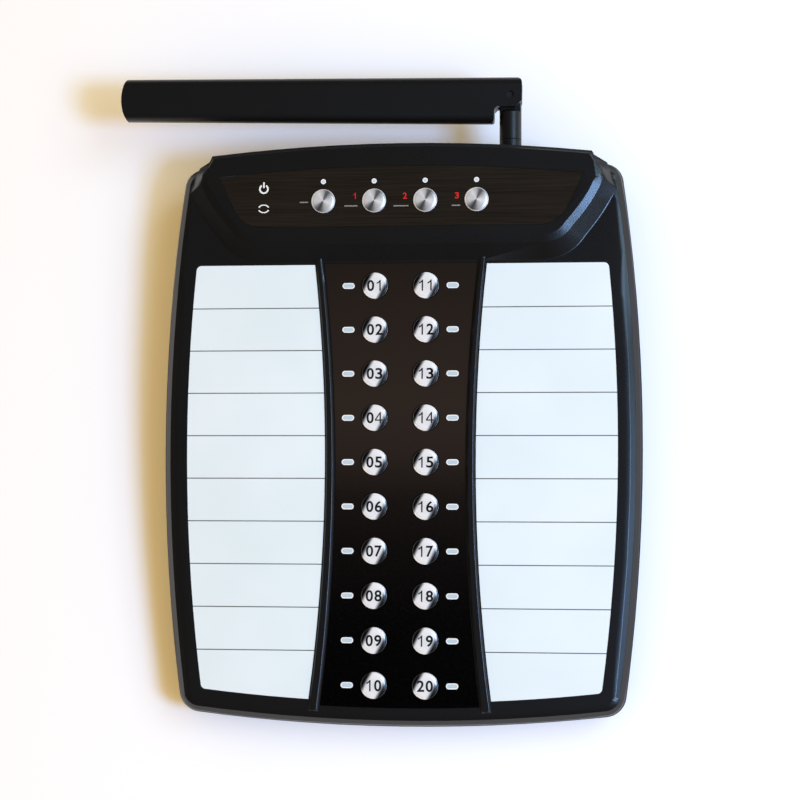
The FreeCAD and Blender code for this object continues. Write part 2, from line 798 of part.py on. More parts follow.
def draw(sketch, name):
    """Draws a stored outline, with each corner and radius tied to its cell."""
    ends = []
    for first, last, centre in plans[name]:
        if centre is None:
            line = Part.LineSegment(Vector(*first, 0), Vector(*last, 0))
            ends.append((sketch.addGeometry(line), 1, 2))
            continue
        start = math.atan2(first[1] - centre[1], first[0] - centre[0])
        stop = math.atan2(last[1] - centre[1], last[0] - centre[0])
        circle = Part.Circle(Vector(*centre, 0), Vector(0, 0, 1), math.dist(first, centre))
        if (stop - start) % (2 * math.pi) < math.pi:
            ends.append((sketch.addGeometry(Part.ArcOfCircle(circle, start, stop)), 1, 2))
        else:
            ends.append((sketch.addGeometry(Part.ArcOfCircle(circle, stop, start)), 2, 1))
    for index, (edge, first_end, last_end) in enumerate(ends):
        following, next_end, _ = ends[(index + 1) % len(ends)]
        first, last, centre = plans[name][index]
        sketch.addConstraint(Sketcher.Constraint("Coincident", edge, last_end, following, next_end))
        for kind, axis, number in (("DistanceX", "x", first[0]), ("DistanceY", "y", first[1])):
            rule = sketch.addConstraint(Sketcher.Constraint(kind, -1, 1, edge, first_end, number))
            bind(sketch, "Constraints[%d]" % rule, "%s_%s_%d" % (name, axis, index))
        if centre:
            radius = math.dist(first, centre)
            rule = sketch.addConstraint(Sketcher.Constraint("Radius", edge, radius))
            bind(sketch, "Constraints[%d]" % rule, "%s_r_%d" % (name, index))


def draw_box(sketch, x, y, width, length):
    """A rectangle about (x, y), where each number is the name of a size, or minus it."""
    values = [
        size[item.lstrip("-")] * (-1 if item.startswith("-") else 1) for item in (x, y, width, length)
    ]
    corners = [edge[0] for edge in rectangle(*values)]
    lines = []
    for index, corner in enumerate(corners):
        following = corners[(index + 1) % 4]
        line = Part.LineSegment(Vector(*corner, 0), Vector(*following, 0))
        lines.append(sketch.addGeometry(line))
    for index, line in enumerate(lines):
        following = lines[(index + 1) % 4]
        sketch.addConstraint(Sketcher.Constraint("Coincident", line, 2, following, 1))
    rules = (
        ("DistanceX", 0, corners[0][0], "%s - %s / 2" % (reference(x), reference(width))),
        ("DistanceY", 0, corners[0][1], "%s - %s / 2" % (reference(y), reference(length))),
        ("DistanceX", 2, corners[2][0], "%s + %s / 2" % (reference(x), reference(width))),
        ("DistanceY", 2, corners[2][1], "%s + %s / 2" % (reference(y), reference(length))),
    )
    for kind, corner, number, expression in rules:
        rule = sketch.addConstraint(Sketcher.Constraint(kind, -1, 1, lines[corner], 1, number))
        sketch.setExpression("Constraints[%d]" % rule, expression)
    for line, kind in zip(lines, ("Horizontal", "Vertical", "Horizontal", "Vertical")):
        sketch.addConstraint(Sketcher.Constraint(kind, line))


def centred_circle(body, radius):
    """A sketch with one circle about the body's origin."""
    sketch = new_sketch(body)
    sketch.addGeometry(Part.Circle(Vector(), Vector(0, 0, 1), size[radius]))
    sketch.addConstraint(Sketcher.Constraint("Coincident", 0, 3, -1, 1))
    rule = sketch.addConstraint(Sketcher.Constraint("Radius", 0, size[radius]))
    bind(sketch, "Constraints[%d]" % rule, radius)
    return sketch


def reference(item):
    """A size's name as the sheet's expression, with its sign."""
    return "-Sizes." + item[1:] if item.startswith("-") else "Sizes." + item


def new_body(name, frame=face_frame):
    body = doc.addObject("PartDesign::Body", name)
    body.AllowCompound = True
    body.Placement = frame
    return body


def new_sketch(body, level=None, plane="XY_Plane"):
    sketch = body.newObject("Sketcher::SketchObject", "sketch")
    sketch.AttachmentSupport = [(origin_plane(body, plane), "")]
    sketch.MapMode = "FlatFace"
    if level:
        sketch.setExpression(".AttachmentOffset.Base.z", reference(level))
    return sketch


def outline_sketch(body, level, *names):
    sketch = new_sketch(body, level)
    for name in names:
        draw(sketch, name)
    return sketch


def pad(body, sketch, length, midplane=False):
    feature = body.newObject("PartDesign::Pad", "pad")
    feature.Profile = sketch
    feature.Midplane = midplane
    bind(feature, "Length", length)
    doc.recompute()
    return feature


def pocket(body, sketch, length, upwards=False, midplane=False):
    """Cuts downwards from its sketch, or upwards, and makes sure that something went."""
    before = body.Shape.Volume
    feature = body.newObject("PartDesign::Pocket", "pocket")
    feature.Profile = sketch
    feature.Reversed = upwards
    feature.Midplane = midplane
    bind(feature, "Length", length)
    doc.recompute()
    assert feature.Shape.Volume < before - 1e-3, body.Label + ": a pocket cut nothing"
    return feature


def pattern(body, originals, axis, length, occurrences):
    feature = body.newObject("PartDesign::LinearPattern", "pattern")
    feature.Originals = originals
    feature.Direction = (origin_plane(body, axis), [""])
    bind(feature, "Length", length)
    feature.Occurrences = int(occurrences)
    body.Tip = feature
    doc.recompute()
    return feature


def dress(body, kind, wanted, amount):
    """Rounds (Fillet) or bevels (Chamfer) the edges of the body's tip that pass a test."""
    base = body.Tip
    names = ["Edge%d" % (index + 1) for index, edge in enumerate(base.Shape.Edges) if wanted(edge)]
    assert names, body.Label + ": no edge to dress"
    feature = body.newObject("PartDesign::" + kind, kind.lower())
    feature.Base = (base, names)
    bind(feature, "Radius" if kind == "Fillet" else "Size", amount)
    doc.recompute()
    return feature


def level_edge(edge, *levels):
    """True for an edge that lies wholly at one of the heights."""
    low = edge.BoundBox.ZMin
    high = edge.BoundBox.ZMax
    return any(abs(low - level) < 1e-4 and abs(high - level) < 1e-4 for level in levels)


def along(x, y, z, frame=face_frame, turn=None):
    """A place in a frame, with a turn for what doesn't stand upright."""
    return frame * Placement(Vector(x, y, z), turn or Rotation())


def block(name, width, length, height, x, y, z, frame=face_frame):
    """A block that stands on z about (x, y)."""
    item = doc.addObject("Part::Box", name)
    bind(item, "Length", width)
    bind(item, "Width", length)
    bind(item, "Height", height)
    item.Placement = along(x - size[width] / 2, y - size[length] / 2, z, frame)
    return item


def bar(name, radius, height, place):
    """A round bar that starts at its place."""
    item = doc.addObject("Part::Cylinder", name)
    bind(item, "Radius", radius)
    bind(item, "Height", height)
    item.Placement = place
    return item


def prism(name, radius, flats, height, place):
    """A bar with flats instead of a round side, for the round pieces that repeat."""
    item = doc.addObject("Part::Prism", name)
    item.Polygon = int(size[flats])
    bind(item, "Circumradius", radius)
    bind(item, "Height", height)
    item.Placement = place
    return item


def fuse(name, *items):
    item = doc.addObject("Part::MultiFuse", name)
    item.Shapes = list(items)
    return item


def cut(name, base, tool):
    item = doc.addObject("Part::Cut", name)
    item.Base = base
    item.Tool = tool
    return item


def common(name, *items):
    item = doc.addObject("Part::MultiCommon", name)
    item.Shapes = list(items)
    return item


def group(name, items):
    """Separate solids that share one sub-part."""
    item = doc.addObject("Part::Compound", name + "_group")
    item.Links = list(items)
    return finish(item, name)


call_places = [
    (side * size["key_x"], size["key_front_y"] + size["key_span"] - row * size["row_pitch"])
    for side in (-1, 1)
    for row in range(int(size["key_rows"]))
]
function_places = [
    (size["function_left_x"] + column * size["column_pitch"], size["function_key_y"]) for column in range(4)
]
call_lamp_places = [(math.copysign(size["call_lamp_x"], x), y) for x, y in call_places]
function_lamp_places = [(x, size["function_lamp_y"]) for x, _ in function_places]
status_places = [
    (-size["status_x"], size["status_power_y"]),
    (-size["status_x"], size["status_link_y"]),
]
foot_places = [
    (side * size["foot_x"], y) for y in (-size["foot_front_y"], size["foot_rear_y"]) for side in (-1, 1)
]
chip_sides = {"radio": 1, "shield": 1, "processor": 1, "buzzer": 1, "regulator": 1, "capacitor": -1}
screw_places = [
    (side * size["screw_x"], y) for y in (-size["screw_front_y"], size["screw_rear_y"]) for side in (-1, 1)
]
post_places = [
    (side * size["post_x"], y) for y in (-size["post_front_y"], size["post_rear_y"]) for side in (-1, 1)
]
wing_places = [
    (-size["wing_post_x"], size["wing_post_left_y"]),
    (size["wing_post_x"], size["wing_post_right_y"]),
]
rearwards = Rotation(Vector(1, 0, 0), -90)
leftwards = Rotation(Vector(0, 1, 0), -90)


def on_axis(drop, turn=rearwards):
    """A place on the antenna's axis, so far in front of the hinge."""
    return along(0, -size[drop], 0, antenna_frame, turn)


def on_axis_block(name, width, length, drop):
    """A square bar along the antenna's axis."""
    item = block(name, width, width, length, 0, 0, 0)
    middle = Placement(Vector(-size[width] / 2, -size[width] / 2, 0), Rotation())
    item.Placement = on_axis(drop) * middle
    return item


def horseshoe(name, width, mouth, thickness, drop):
    """A spring plate that is pushed from below over a bar on the antenna's axis."""
    plate = on_axis_block(name + "_plate", width, thickness, drop)
    gap = block(name + "_mouth", mouth, width, thickness, 0, 0, 0)
    gap.Placement = on_axis(drop) * Placement(Vector(-size[mouth] / 2, -size[mouth] / 2, 0), Rotation())
    return cut(name, plate, gap)


# Top cover: the moulded shell that shows from above.
def make_top_cover():
    body = new_body("cover_shell")
    pad(body, outline_sketch(body, "cover_low", "deck"), "cover_depth")
    dress(body, "Chamfer", lambda edge: level_edge(edge, 0), "edge_bevel")
    bevelled = (0, -size["edge_bevel"])
    dress(body, "Chamfer", lambda edge: level_edge(edge, *bevelled), "edge_second_bevel")
    pad(body, outline_sketch(body, "ridge_low", "ridge_left", "ridge_right"), "ridge_pad")
    dress(body, "Chamfer", lambda edge: level_edge(edge, size["ridge_height"]), "ridge_bevel")
    pad(body, outline_sketch(body, "cover_low", "head_wall"), "cover_depth")
    head = body.newObject("PartDesign::AdditiveLoft", "head")
    head.Profile = outline_sketch(body, "slope_low", "slope_foot")
    head.Sections = [outline_sketch(body, "head_rise", "head_top")]
    head.Ruled = True
    doc.recompute()
    dress(body, "Chamfer", lambda edge: level_edge(edge, size["head_rise"]), "head_bevel")
    pocket(body, outline_sketch(body, None, "card_seat_left", "card_seat_right"), "card_recess")
    pocket(body, outline_sketch(body, None, "keypad_seat"), "film_recess")
    pocket(body, outline_sketch(body, "head_rise", "head_film_seat"), "film_recess")
    pocket(body, outline_sketch(body, "cover_low", "room"), "room_depth", upwards=True)
    pocket(body, outline_sketch(body, "cover_low", "head_inside"), "head_room", upwards=True)
    openings = new_sketch(body, "film_low")
    for sign in ("-", ""):
        draw_box(openings, sign + "key_x", "key_front_y", "call_opening", "call_opening")
        draw_box(openings, sign + "call_lamp_x", "key_front_y", "lamp_length", "lamp_width")
    opening = pocket(body, openings, "panel")
    pattern(body, [opening], "Y_Axis", "key_span", size["key_rows"])
    openings = new_sketch(body, "head_film_low")
    draw_box(openings, "function_left_x", "function_key_y", "function_opening", "function_opening")
    draw_box(openings, "function_left_x", "function_lamp_y", "function_lamp_width", "function_lamp_width")
    opening = pocket(body, openings, "head_roof")
    pattern(body, [opening], "X_Axis", "function_span", len(function_places))
    openings = new_sketch(body, "head_film_low")
    for level in ("status_power_y", "status_link_y"):
        draw_box(openings, "-status_x", level, "status_width", "status_width")
    pocket(body, openings, "head_roof")
    bosses = [
        block("boss", "boss_width", "boss_width", "room_depth", x, y, size["cover_low"])
        for x, y in screw_places
    ]
    posts = [
        block("post", "post_width", "post_width", "post_top_height", x, y, size["board_top"])
        for x, y in post_places
    ]
    wing_posts = [
        block("wing_post", "post_width", "post_width", "wing_post_height", x, y, size["board_top"])
        for x, y in wing_places
    ]
    pilots = [
        prism("pilot", "pilot_radius", "small_flats", "pilot_depth", along(x, y, size["cover_low"]))
        for x, y in screw_places
    ]
    shank_hole = on_axis_block("shank_hole", "shank_hole", "bushing_tail", "bushing_drop")
    seat = bar("bushing_seat", "seat_radius", "seat_depth", on_axis("seat_drop"))
    plate_seat = block(
        "plate_seat", "plate_seat_width", "plate_seat_depth", "head_room", size["antenna_x"],
        size["hinge_y"] - size["plate_drop"] - size["plate_seat_depth"] / 2, size["cover_low"],
    )
    jack_hole = bar(
        "jack_hole", "jack_hole", "jack_length",
        along(size["jack_x"], size["jack_rear_y"] - 1, size["jack_z"], turn=rearwards),
    )
    moulding = fuse("cover_moulding", body, *bosses, *posts, *wing_posts)
    holes = fuse("cover_holes", *pilots, shank_hole, seat, plate_seat, jack_hole)
    return finish(cut("cover", moulding, holes), "top_cover")


# Bottom cover: a wedge-shaped tray that closes the shell from below.
def make_prism(name, outline, floor):
    """The prism below the parting plane, down to a level of the underside's frame."""
    body = new_body(name)
    pad(body, outline_sketch(body, "cover_low", outline), "tray_depth").Reversed = True
    above_floor = doc.addObject("Part::Box", name + "_space")
    for side in ("Length", "Width", "Height"):
        bind(above_floor, side, "space")
    above_floor.Placement = Placement(Vector(-size["space"] / 2, -size["space"] / 2, floor), Rotation())
    return common(name + "_wedge", body, above_floor)


def make_bottom_cover():
    outside = make_prism("tray_outside", "shell", 0)
    inside = make_prism("tray_inside", "tray_room", size["floor"])
    sockets = [
        block("socket", "socket_width", "socket_width", "socket_depth", x, y, size["socket_low"])
        for x, y in screw_places
    ]
    posts = [
        block("support", "post_width", "post_width", "support_depth", x, y, size["support_low"])
        for x, y in post_places + wing_places
    ]
    stands = fuse("tray_stands", *sockets, *posts)
    standing = common("tray_posts", stands, make_prism("tray_filling", "shell", 0))
    wells = [
        block("well", "well_length", "well_breadth", "foot_well", x, y, 0, Placement())
        for x, y in foot_places
    ]
    bores = [
        prism(name, radius, "small_flats", "tray_depth", along(x, y, size[top] - size["tray_depth"]))
        for name, radius, top in (
            ("screw_well", "socket_radius", "screw_low"),
            ("shank_hole", "socket_hole_radius", "cover_low"),
        )
        for x, y in screw_places
    ]
    moulding = fuse("tray_moulding", cut("tray", outside, inside), standing)
    holes = fuse("tray_holes", *wells, *bores)
    return finish(cut("bottom", moulding, holes), "bottom_cover")


def make_feet():
    feet = [
        block("foot", "foot_length", "foot_width", "foot_depth", x, y, -size["foot_height"], Placement())
        for x, y in foot_places
    ]
    return group("rubber_feet", feet)


def make_screws():
    screws = []
    for x, y in screw_places:
        head = prism(
            "screw_head", "screw_head_radius", "small_flats", "screw_head_height",
            along(x, y, size["screw_low"] - size["screw_head_height"]),
        )
        shank = prism(
            "screw_shank", "screw_radius", "small_flats", "screw_length", along(x, y, size["screw_low"])
        )
        screws.append(fuse("screw", head, shank))
    return group("case_screws", screws)


# Films and cards: what is glued into the shallow seats of the top cover.
def make_overlay(label, outline, level, places, radius):
    """A film with a hole for each of its keys."""
    body = new_body(outline + "_film")
    pad(body, outline_sketch(body, level, outline), "film_thickness")
    holes = [
        prism("hole", radius, "key_flats", "film_thickness", along(x, y, size[level])) for x, y in places
    ]
    return finish(cut(label + "_cut", body, fuse(label + "_holes", *holes)), label)


def make_card(side):
    body = new_body("card_" + side)
    pad(body, outline_sketch(body, "card_low", "card_" + side), "card_thickness")
    return finish(body, "label_card_" + side)


# Electronics: the board, its switches, lamps and chips.
def make_board():
    body = new_body("board")
    pad(body, outline_sketch(body, "board_low", "board"), "board_thickness")
    return finish(body, "main_board")


def make_switches(label, places, x, y, axis, span, count):
    """Switch housings, each open above for the plunger of its key."""
    body = new_body(label + "_array")
    outlines = new_sketch(body, "board_top")
    wells = new_sketch(body, "switch_top")
    for item in x:
        draw_box(outlines, item, y, "switch_width", "switch_width")
        draw_box(wells, item, y, "well_width", "well_width")
    housing = pad(body, outlines, "switch_height")
    well = pocket(body, wells, "plunger_well")
    pattern(body, [housing, well], axis, span, count)
    assert len(body.Shape.Solids) == len(places), label + ": a housing is missing"
    return finish(body, label)


def make_lamps(label, places, length, width, height, level):
    """Lamps that stand on the board, or the light guides above them."""
    lamps = [block(label + "_part", length, width, height, x, y, size[level]) for x, y in places]
    return group(label, lamps)


def make_chip(label, name, level):
    chip = block(
        name + "_part", name + "_width", name + "_length", name + "_height",
        size[name + "_x"] * chip_sides[name], size[name + "_y"], size[level],
    )
    return finish(chip, label)


def make_jack():
    """The power inlet: a housing behind a round hole in the rear wall, with a pin in its bore."""
    housing = block(
        "jack_housing", "jack_width", "jack_length", "jack_height",
        size["jack_x"], size["jack_rear_y"] - size["jack_length"] / 2, size["board_top"],
    )
    root = along(
        size["jack_x"], size["jack_rear_y"] - size["jack_bore_depth"], size["jack_z"], turn=rearwards
    )
    finish(cut("jack", housing, bar("jack_bore", "jack_bore_radius", "jack_bore_depth", root)), "dc_jack")
    return finish(bar("jack_pin", "jack_pin_radius", "jack_pin_length", root), "dc_jack_pin")


# Keys: a round metal cap on a square plunger.
def make_key(label, radius, cap_low, plunger, x, y):
    cap = prism(label + "_cap", radius, "key_flats", "key_height", along(x, y, size[cap_low]))
    stem = block(label + "_plunger", "plunger_width", "plunger_width", plunger, x, y, size["plunger_low"])
    return group(label, [cap, stem])


# Antenna: a bushing in the rear wall, a knuckle that turns in it, and a blade hinged on the knuckle.
def make_bushing():
    """The socket in the wall: a round collar outside and a square shank that a plate holds inside."""
    collar = bar("bushing_collar", "stem_radius", "collar_length", on_axis("seat_drop"))
    shank = on_axis_block("bushing_shank", "shank_width", "bushing_tail", "bushing_drop")
    bore = bar("bushing_bore", "spigot_bore", "bushing_drop", on_axis("bushing_drop"))
    plate = horseshoe("lock", "plate_width", "plate_mouth", "plate_thickness", "plate_low")
    holes = fuse("bushing_cuts", bore, plate)
    finish(cut("bushing", fuse("bushing_body", collar, shank), holes), "antenna_bushing")
    return finish(plate, "antenna_lock_plate")


def make_knuckle():
    body = new_body("knuckle_tongue", antenna_frame)
    pad(body, outline_sketch(body, None, "tongue"), "tongue_thickness", midplane=True)
    pocket(body, centred_circle(body, "tongue_hole"), "tongue_thickness", midplane=True)
    stem = bar("stem", "stem_radius", "stem_straight", on_axis("stem_drop"))
    shoulder = doc.addObject("Part::Cone", "shoulder")
    bind(shoulder, "Radius1", "stem_radius")
    bind(shoulder, "Radius2", "stem_neck")
    bind(shoulder, "Height", "stem_bevel")
    shoulder.Placement = along(0, -size["shoulder_drop"] - size["stem_bevel"], 0, antenna_frame, rearwards)
    spigot = bar("spigot", "spigot_radius", "spigot_length", on_axis("spigot_drop"))
    limit = bar("tongue_round", "stem_radius", "tongue_limit", on_axis("stem_drop"))
    within = common("tongue_in_stem", body, limit)
    clip = horseshoe("spigot_clip", "clip_width", "clip_mouth", "clip_thickness", "clip_drop")
    finish(cut("knuckle", fuse("knuckle_body", stem, shoulder, spigot, within), clip), "antenna_knuckle")
    finish(clip, "antenna_clip")
    pin = bar(
        "hinge_pin", "hinge_pin_radius", "hinge_pin_length",
        along(0, 0, -size["hinge_pin_length"] / 2, antenna_frame),
    )
    return finish(pin, "antenna_hinge_pin")


def make_blade():
    body = new_body("blade", blade_frame)
    pad(body, outline_sketch(body, None, "blade"), "blade_thickness", midplane=True)
    dress(body, "Fillet", lambda edge: edge.BoundBox.XLength > size["blade_reach"] / 2, "blade_edge_radius")
    cuts = (("ear_cut", "blade_thickness"), ("ear_corner", "blade_thickness"), ("slot", "slot_thickness"))
    for outline, depth in cuts + (("channel", "channel_width"),):
        pocket(body, outline_sketch(body, None, outline), depth, midplane=True)
    pocket(body, centred_circle(body, "hinge_hole"), "blade_thickness", midplane=True)
    finish(body, "antenna_blade")
    rod = prism(
        "radiator", "radiator_radius", "small_flats", "radiator_length",
        along(-size["slot_left"] - 0.5, -size["blade_offset"], 0, blade_frame, leftwards),
    )
    return finish(rod, "antenna_radiator")


def make_lead():
    """The aerial lead, straight from its socket on the board to the antenna's axis."""
    plug = block(
        "lead_plug", "plug_width", "plug_width", "plug_height",
        size["antenna_x"], size["plug_y"], size["board_top"],
    )
    start_y = size["plug_y"] + size["plug_width"] / 2
    start = along(size["antenna_x"], start_y, size["antenna_z"], turn=rearwards)
    lead = prism("lead", "lead_radius", "small_flats", "lead_length", start)
    return finish(fuse("lead_and_plug", plug, lead), "antenna_lead")


make_top_cover()
make_bottom_cover()
make_feet()
make_screws()
make_overlay("keypad_overlay", "keypad", "film_low", call_places, "call_hole")
make_overlay("function_overlay", "head_film", "head_film_low", function_places, "function_hole")
make_card("left")
make_card("right")
make_board()
key_columns = ("-key_x", "key_x")
make_switches(
    "call_switch_housings", call_places, key_columns, "key_front_y", "Y_Axis", "key_span", size["key_rows"]
)
make_switches(
    "function_switch_housings", function_places, ("function_left_x",), "function_key_y",
    "X_Axis", "function_span", len(function_places),
)
make_lamps("call_lamps", call_lamp_places, "lamp_length", "lamp_width", "call_lamp_height", "board_top")
make_lamps("function_leds", function_lamp_places, "led_length", "led_width", "led_height", "board_top")
make_lamps(
    "function_light_guides", function_lamp_places,
    "function_lamp_width", "function_lamp_width", "head_guide", "guide_low",
)
make_lamps("status_leds", status_places, "led_length", "led_width", "led_height", "board_top")
make_lamps("status_light_guides", status_places, "status_width", "status_width", "head_guide", "guide_low")
make_chip("radio_module", "radio", "board_top")
make_chip("radio_shield", "shield", "shield_low")
make_chip("processor_chip", "processor", "board_top")
make_chip("buzzer", "buzzer", "board_top")
make_chip("voltage_regulator", "regulator", "board_top")
make_chip("supply_capacitor", "capacitor", "board_top")
make_jack()
for number, (x, y) in enumerate(call_places, 1):
    make_key("call_key_%02d" % number, "call_key_radius", "call_cap_low", "call_plunger", x, y)
for number, (x, y) in enumerate(function_places, 1):
    make_key("function_key_%d" % number, "function_key_radius", "function_cap_low", "function_plunger", x, y)
make_bushing()
make_knuckle()
make_blade()
make_lead()
doc.recompute()

failed = [item.Label for item in doc.Objects if "Invalid" in item.State or "Error" in item.State]
assert not failed, "failed objects: %s" % failed
os.makedirs("parts", exist_ok=True)
for item in nodes:
    shape = item.Shape
    assert not shape.isNull() and shape.isValid(), item.Label + " isn't a sound solid"
    shape.exportStep("parts/%s.step" % item.Label)
    print(item.Label, len(shape.Solids), "solids", round(shape.Volume, 1))
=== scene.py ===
# %% [markdown]
# # A waiter call console
# The console is a flat wedge of black plastic with two pale label cards, a printed keypad film,
# twenty numbered metal keys, four function keys on a raised head, and a folding antenna behind.
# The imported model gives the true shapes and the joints. This script adds what the model leaves
# plain: soft edges, round metal caps, printed figures, and a procedural finish for every piece.

# %% The fixed frame
import json
import math

import bmesh
import bpy
from mathutils import Matrix, Vector


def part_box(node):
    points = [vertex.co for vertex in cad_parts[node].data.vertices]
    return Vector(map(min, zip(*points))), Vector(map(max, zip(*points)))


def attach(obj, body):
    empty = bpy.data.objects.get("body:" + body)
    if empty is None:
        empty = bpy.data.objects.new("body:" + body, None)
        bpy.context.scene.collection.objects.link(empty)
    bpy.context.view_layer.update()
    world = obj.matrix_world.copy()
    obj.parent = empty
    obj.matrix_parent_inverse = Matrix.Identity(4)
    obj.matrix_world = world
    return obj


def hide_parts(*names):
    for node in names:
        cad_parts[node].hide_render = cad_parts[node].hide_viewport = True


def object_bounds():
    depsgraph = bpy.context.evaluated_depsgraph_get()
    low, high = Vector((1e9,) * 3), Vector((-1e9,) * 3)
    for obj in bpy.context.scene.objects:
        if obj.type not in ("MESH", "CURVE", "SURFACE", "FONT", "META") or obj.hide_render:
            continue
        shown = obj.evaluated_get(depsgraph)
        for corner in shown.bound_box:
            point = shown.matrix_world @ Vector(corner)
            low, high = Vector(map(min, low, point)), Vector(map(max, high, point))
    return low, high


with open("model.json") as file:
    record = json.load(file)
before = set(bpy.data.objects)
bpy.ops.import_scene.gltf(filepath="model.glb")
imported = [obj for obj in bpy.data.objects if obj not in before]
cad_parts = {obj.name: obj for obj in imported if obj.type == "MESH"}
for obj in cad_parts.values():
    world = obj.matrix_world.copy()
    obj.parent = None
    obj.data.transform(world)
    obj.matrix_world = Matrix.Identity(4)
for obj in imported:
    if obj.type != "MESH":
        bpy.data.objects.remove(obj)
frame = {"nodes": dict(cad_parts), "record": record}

cad_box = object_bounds()
print("the model spans", [round(high - low, 4) for low, high in zip(*cad_box)])

# %% [markdown]
# ## The face frame
# The top of the case leans three degrees towards the user, so keys, films and cards are easiest to
# place in a frame that lies in that face. One matrix carries millimetres in the face frame to
# metres in the room: x runs right, y to the rear, z out of the face, and the origin is the middle
# of the keypad. Every new piece is drawn there and then moved as a mesh.

# %% The face frame
MM = 0.001
FACE_TILT = math.radians(3.0)
DECK_HEIGHT = 24.0
FACE_MIDDLE = -21.65 * math.cos(FACE_TILT)
FACE = Matrix.Translation((0, FACE_MIDDLE * MM, DECK_HEIGHT * MM)) @ Matrix.Rotation(FACE_TILT, 4, "X")
FACE_MM = FACE @ Matrix.Scale(MM, 4)
INTO_FACE = FACE_MM.inverted()
print("the face starts at", [round(step, 4) for step in FACE.translation])

# %% [markdown]
# ## The camera
# The photograph looks almost straight down with a long lens. Its place was found by fitting the
# grid of keys, so the camera is written as a turn and a step from the face frame.

# %% The camera
FOCAL_PIXELS = 1780.0
FRAME_PIXELS = 800.0
SENSOR = 36.0
lean = [Matrix.Rotation(angle, 4, axis) for angle, axis in
        ((-0.00313552, "Z"), (-0.05787109, "X"), (-0.09550020, "Y"))]
step_back = Matrix.Translation(Vector((-0.0419, -36.0673, -761.2989)) * MM)
view = step_back @ lean[0] @ lean[1] @ lean[2]
camera = bpy.data.objects.new("camera", bpy.data.cameras.new("camera"))
camera.data.sensor_width = SENSOR
camera.data.lens = FOCAL_PIXELS * SENSOR / FRAME_PIXELS
camera.data.clip_start = 0.02
camera.matrix_world = FACE @ view.inverted()
bpy.context.collection.objects.link(camera)
bpy.context.scene.camera = camera
print("the camera is at", [round(step, 3) for step in camera.matrix_world.translation])

# %% [markdown]
# ## Sums on sockets
# A finish is a small graph of nodes. Writing each Math node by hand hides the idea, so a small
# class wraps a socket and turns `1 - mask` into a node. All nodes come from its one method, which
# sets the settings first, because some of them change the sockets.

# %% A socket that can be used in sums
class Socket:
    """One output of a node, which can stand in a sum like a number."""

    def __init__(self, tree, output=None):
        self.tree = tree
        self.output = output

    def node(self, kind, settings=None, values=None, output=0):
        """Adds a node with its settings and the values or links of its sockets."""
        made = self.tree.nodes.new(kind)
        for name, setting in (settings or {}).items():
            if name == "stops":
                fill_ramp(made.color_ramp, setting)
            else:
                setattr(made, name, setting)
        for name, value in (values or {}).items():
            if isinstance(value, Socket):
                self.tree.links.new(value.output, made.inputs[name])
            else:
                made.inputs[name].default_value = value
        return Socket(self.tree, made.outputs[output] if made.outputs else None)

    def part(self, axis):
        """One number of a vector: X, Y or Z."""
        return self.node("ShaderNodeSeparateXYZ", values={"Vector": self}, output=axis)

    def math(self, operation, first, second=0.0):
        """A sum on two values, by the name of its operation."""
        return self.node("ShaderNodeMath", {"operation": operation}, {0: first, 1: second})

    def __add__(self, other):
        return self.math("ADD", self, other)

    def __radd__(self, other):
        return self.math("ADD", other, self)

    def __sub__(self, other):
        return self.math("SUBTRACT", self, other)

    def __rsub__(self, other):
        return self.math("SUBTRACT", other, self)

    def __mul__(self, other):
        return self.math("MULTIPLY", self, other)

    def __rmul__(self, other):
        return self.math("MULTIPLY", other, self)

    def __truediv__(self, other):
        return self.math("DIVIDE", self, other)

    def __rtruediv__(self, other):
        return self.math("DIVIDE", other, self)

    def __abs__(self):
        return self.math("ABSOLUTE", self)

    def fade(self, start, end):
        """Runs smoothly from 0 at start to 1 at end."""
        return self.node(
            "ShaderNodeMapRange", {"interpolation_type": "SMOOTHSTEP"},
            {"Value": self, "From Min": start, "From Max": end},
        )

    def blend(self, first, second):
        """Mixes two colours by this value."""
        return self.node(
            "ShaderNodeMix", {"data_type": "RGBA"}, {"Factor": self, 6: first, 7: second}, 2
        )


def fill_ramp(ramp, stops):
    """Gives a ramp its stops, each a place and a colour."""
    while len(ramp.elements) < len(stops):
        ramp.elements.new(0.5)
    for element, (position, colour) in zip(ramp.elements, stops):
        element.position = position
        element.color = colour


def paint(red, green, blue):
    """A colour as a shader wants it, from the 0 to 255 numbers of a picture."""
    shares = [level / 255 for level in (red, green, blue)]
    light = [share / 12.92 if share <= 0.04045 else ((share + 0.055) / 1.055) ** 2.4 for share in shares]
    return (*light, 1.0)


print("a mid grey of 128 is", round(paint(128, 128, 128)[0], 3), "as light")

# %% [markdown]
# ## Where a pattern lies
# Every pattern reads Object coordinates through one Mapping node, which turns them into face
# millimetres. A grain of 3 then means three specks to a millimetre, on all pieces alike.

# %% Starting and closing a finish
def new_finish(name):
    """An empty material and its pattern coordinates in face millimetres."""
    material = bpy.data.materials.new(name)
    material.use_nodes = True
    material.node_tree.nodes.clear()
    start = Socket(material.node_tree)
    local = start.node("ShaderNodeTexCoord", output="Object")
    spot = start.node(
        "ShaderNodeMapping", {"vector_type": "TEXTURE"},
        {"Vector": local, "Location": FACE.translation, "Rotation": (FACE_TILT, 0, 0),
         "Scale": (MM, MM, MM)},
    )
    return material, spot


def close_finish(material, spot, values, height=None, depth=0.0):
    """Adds the shader, with a bump in millimetres where a height is given."""
    if height is not None:
        values["Normal"] = spot.node(
            "ShaderNodeBump", values={"Height": height, "Distance": depth * MM, "Strength": 1.0}
        )
    shader = spot.node("ShaderNodeBsdfPrincipled", values=values)
    spot.node("ShaderNodeOutputMaterial", values={"Surface": shader})
    return material


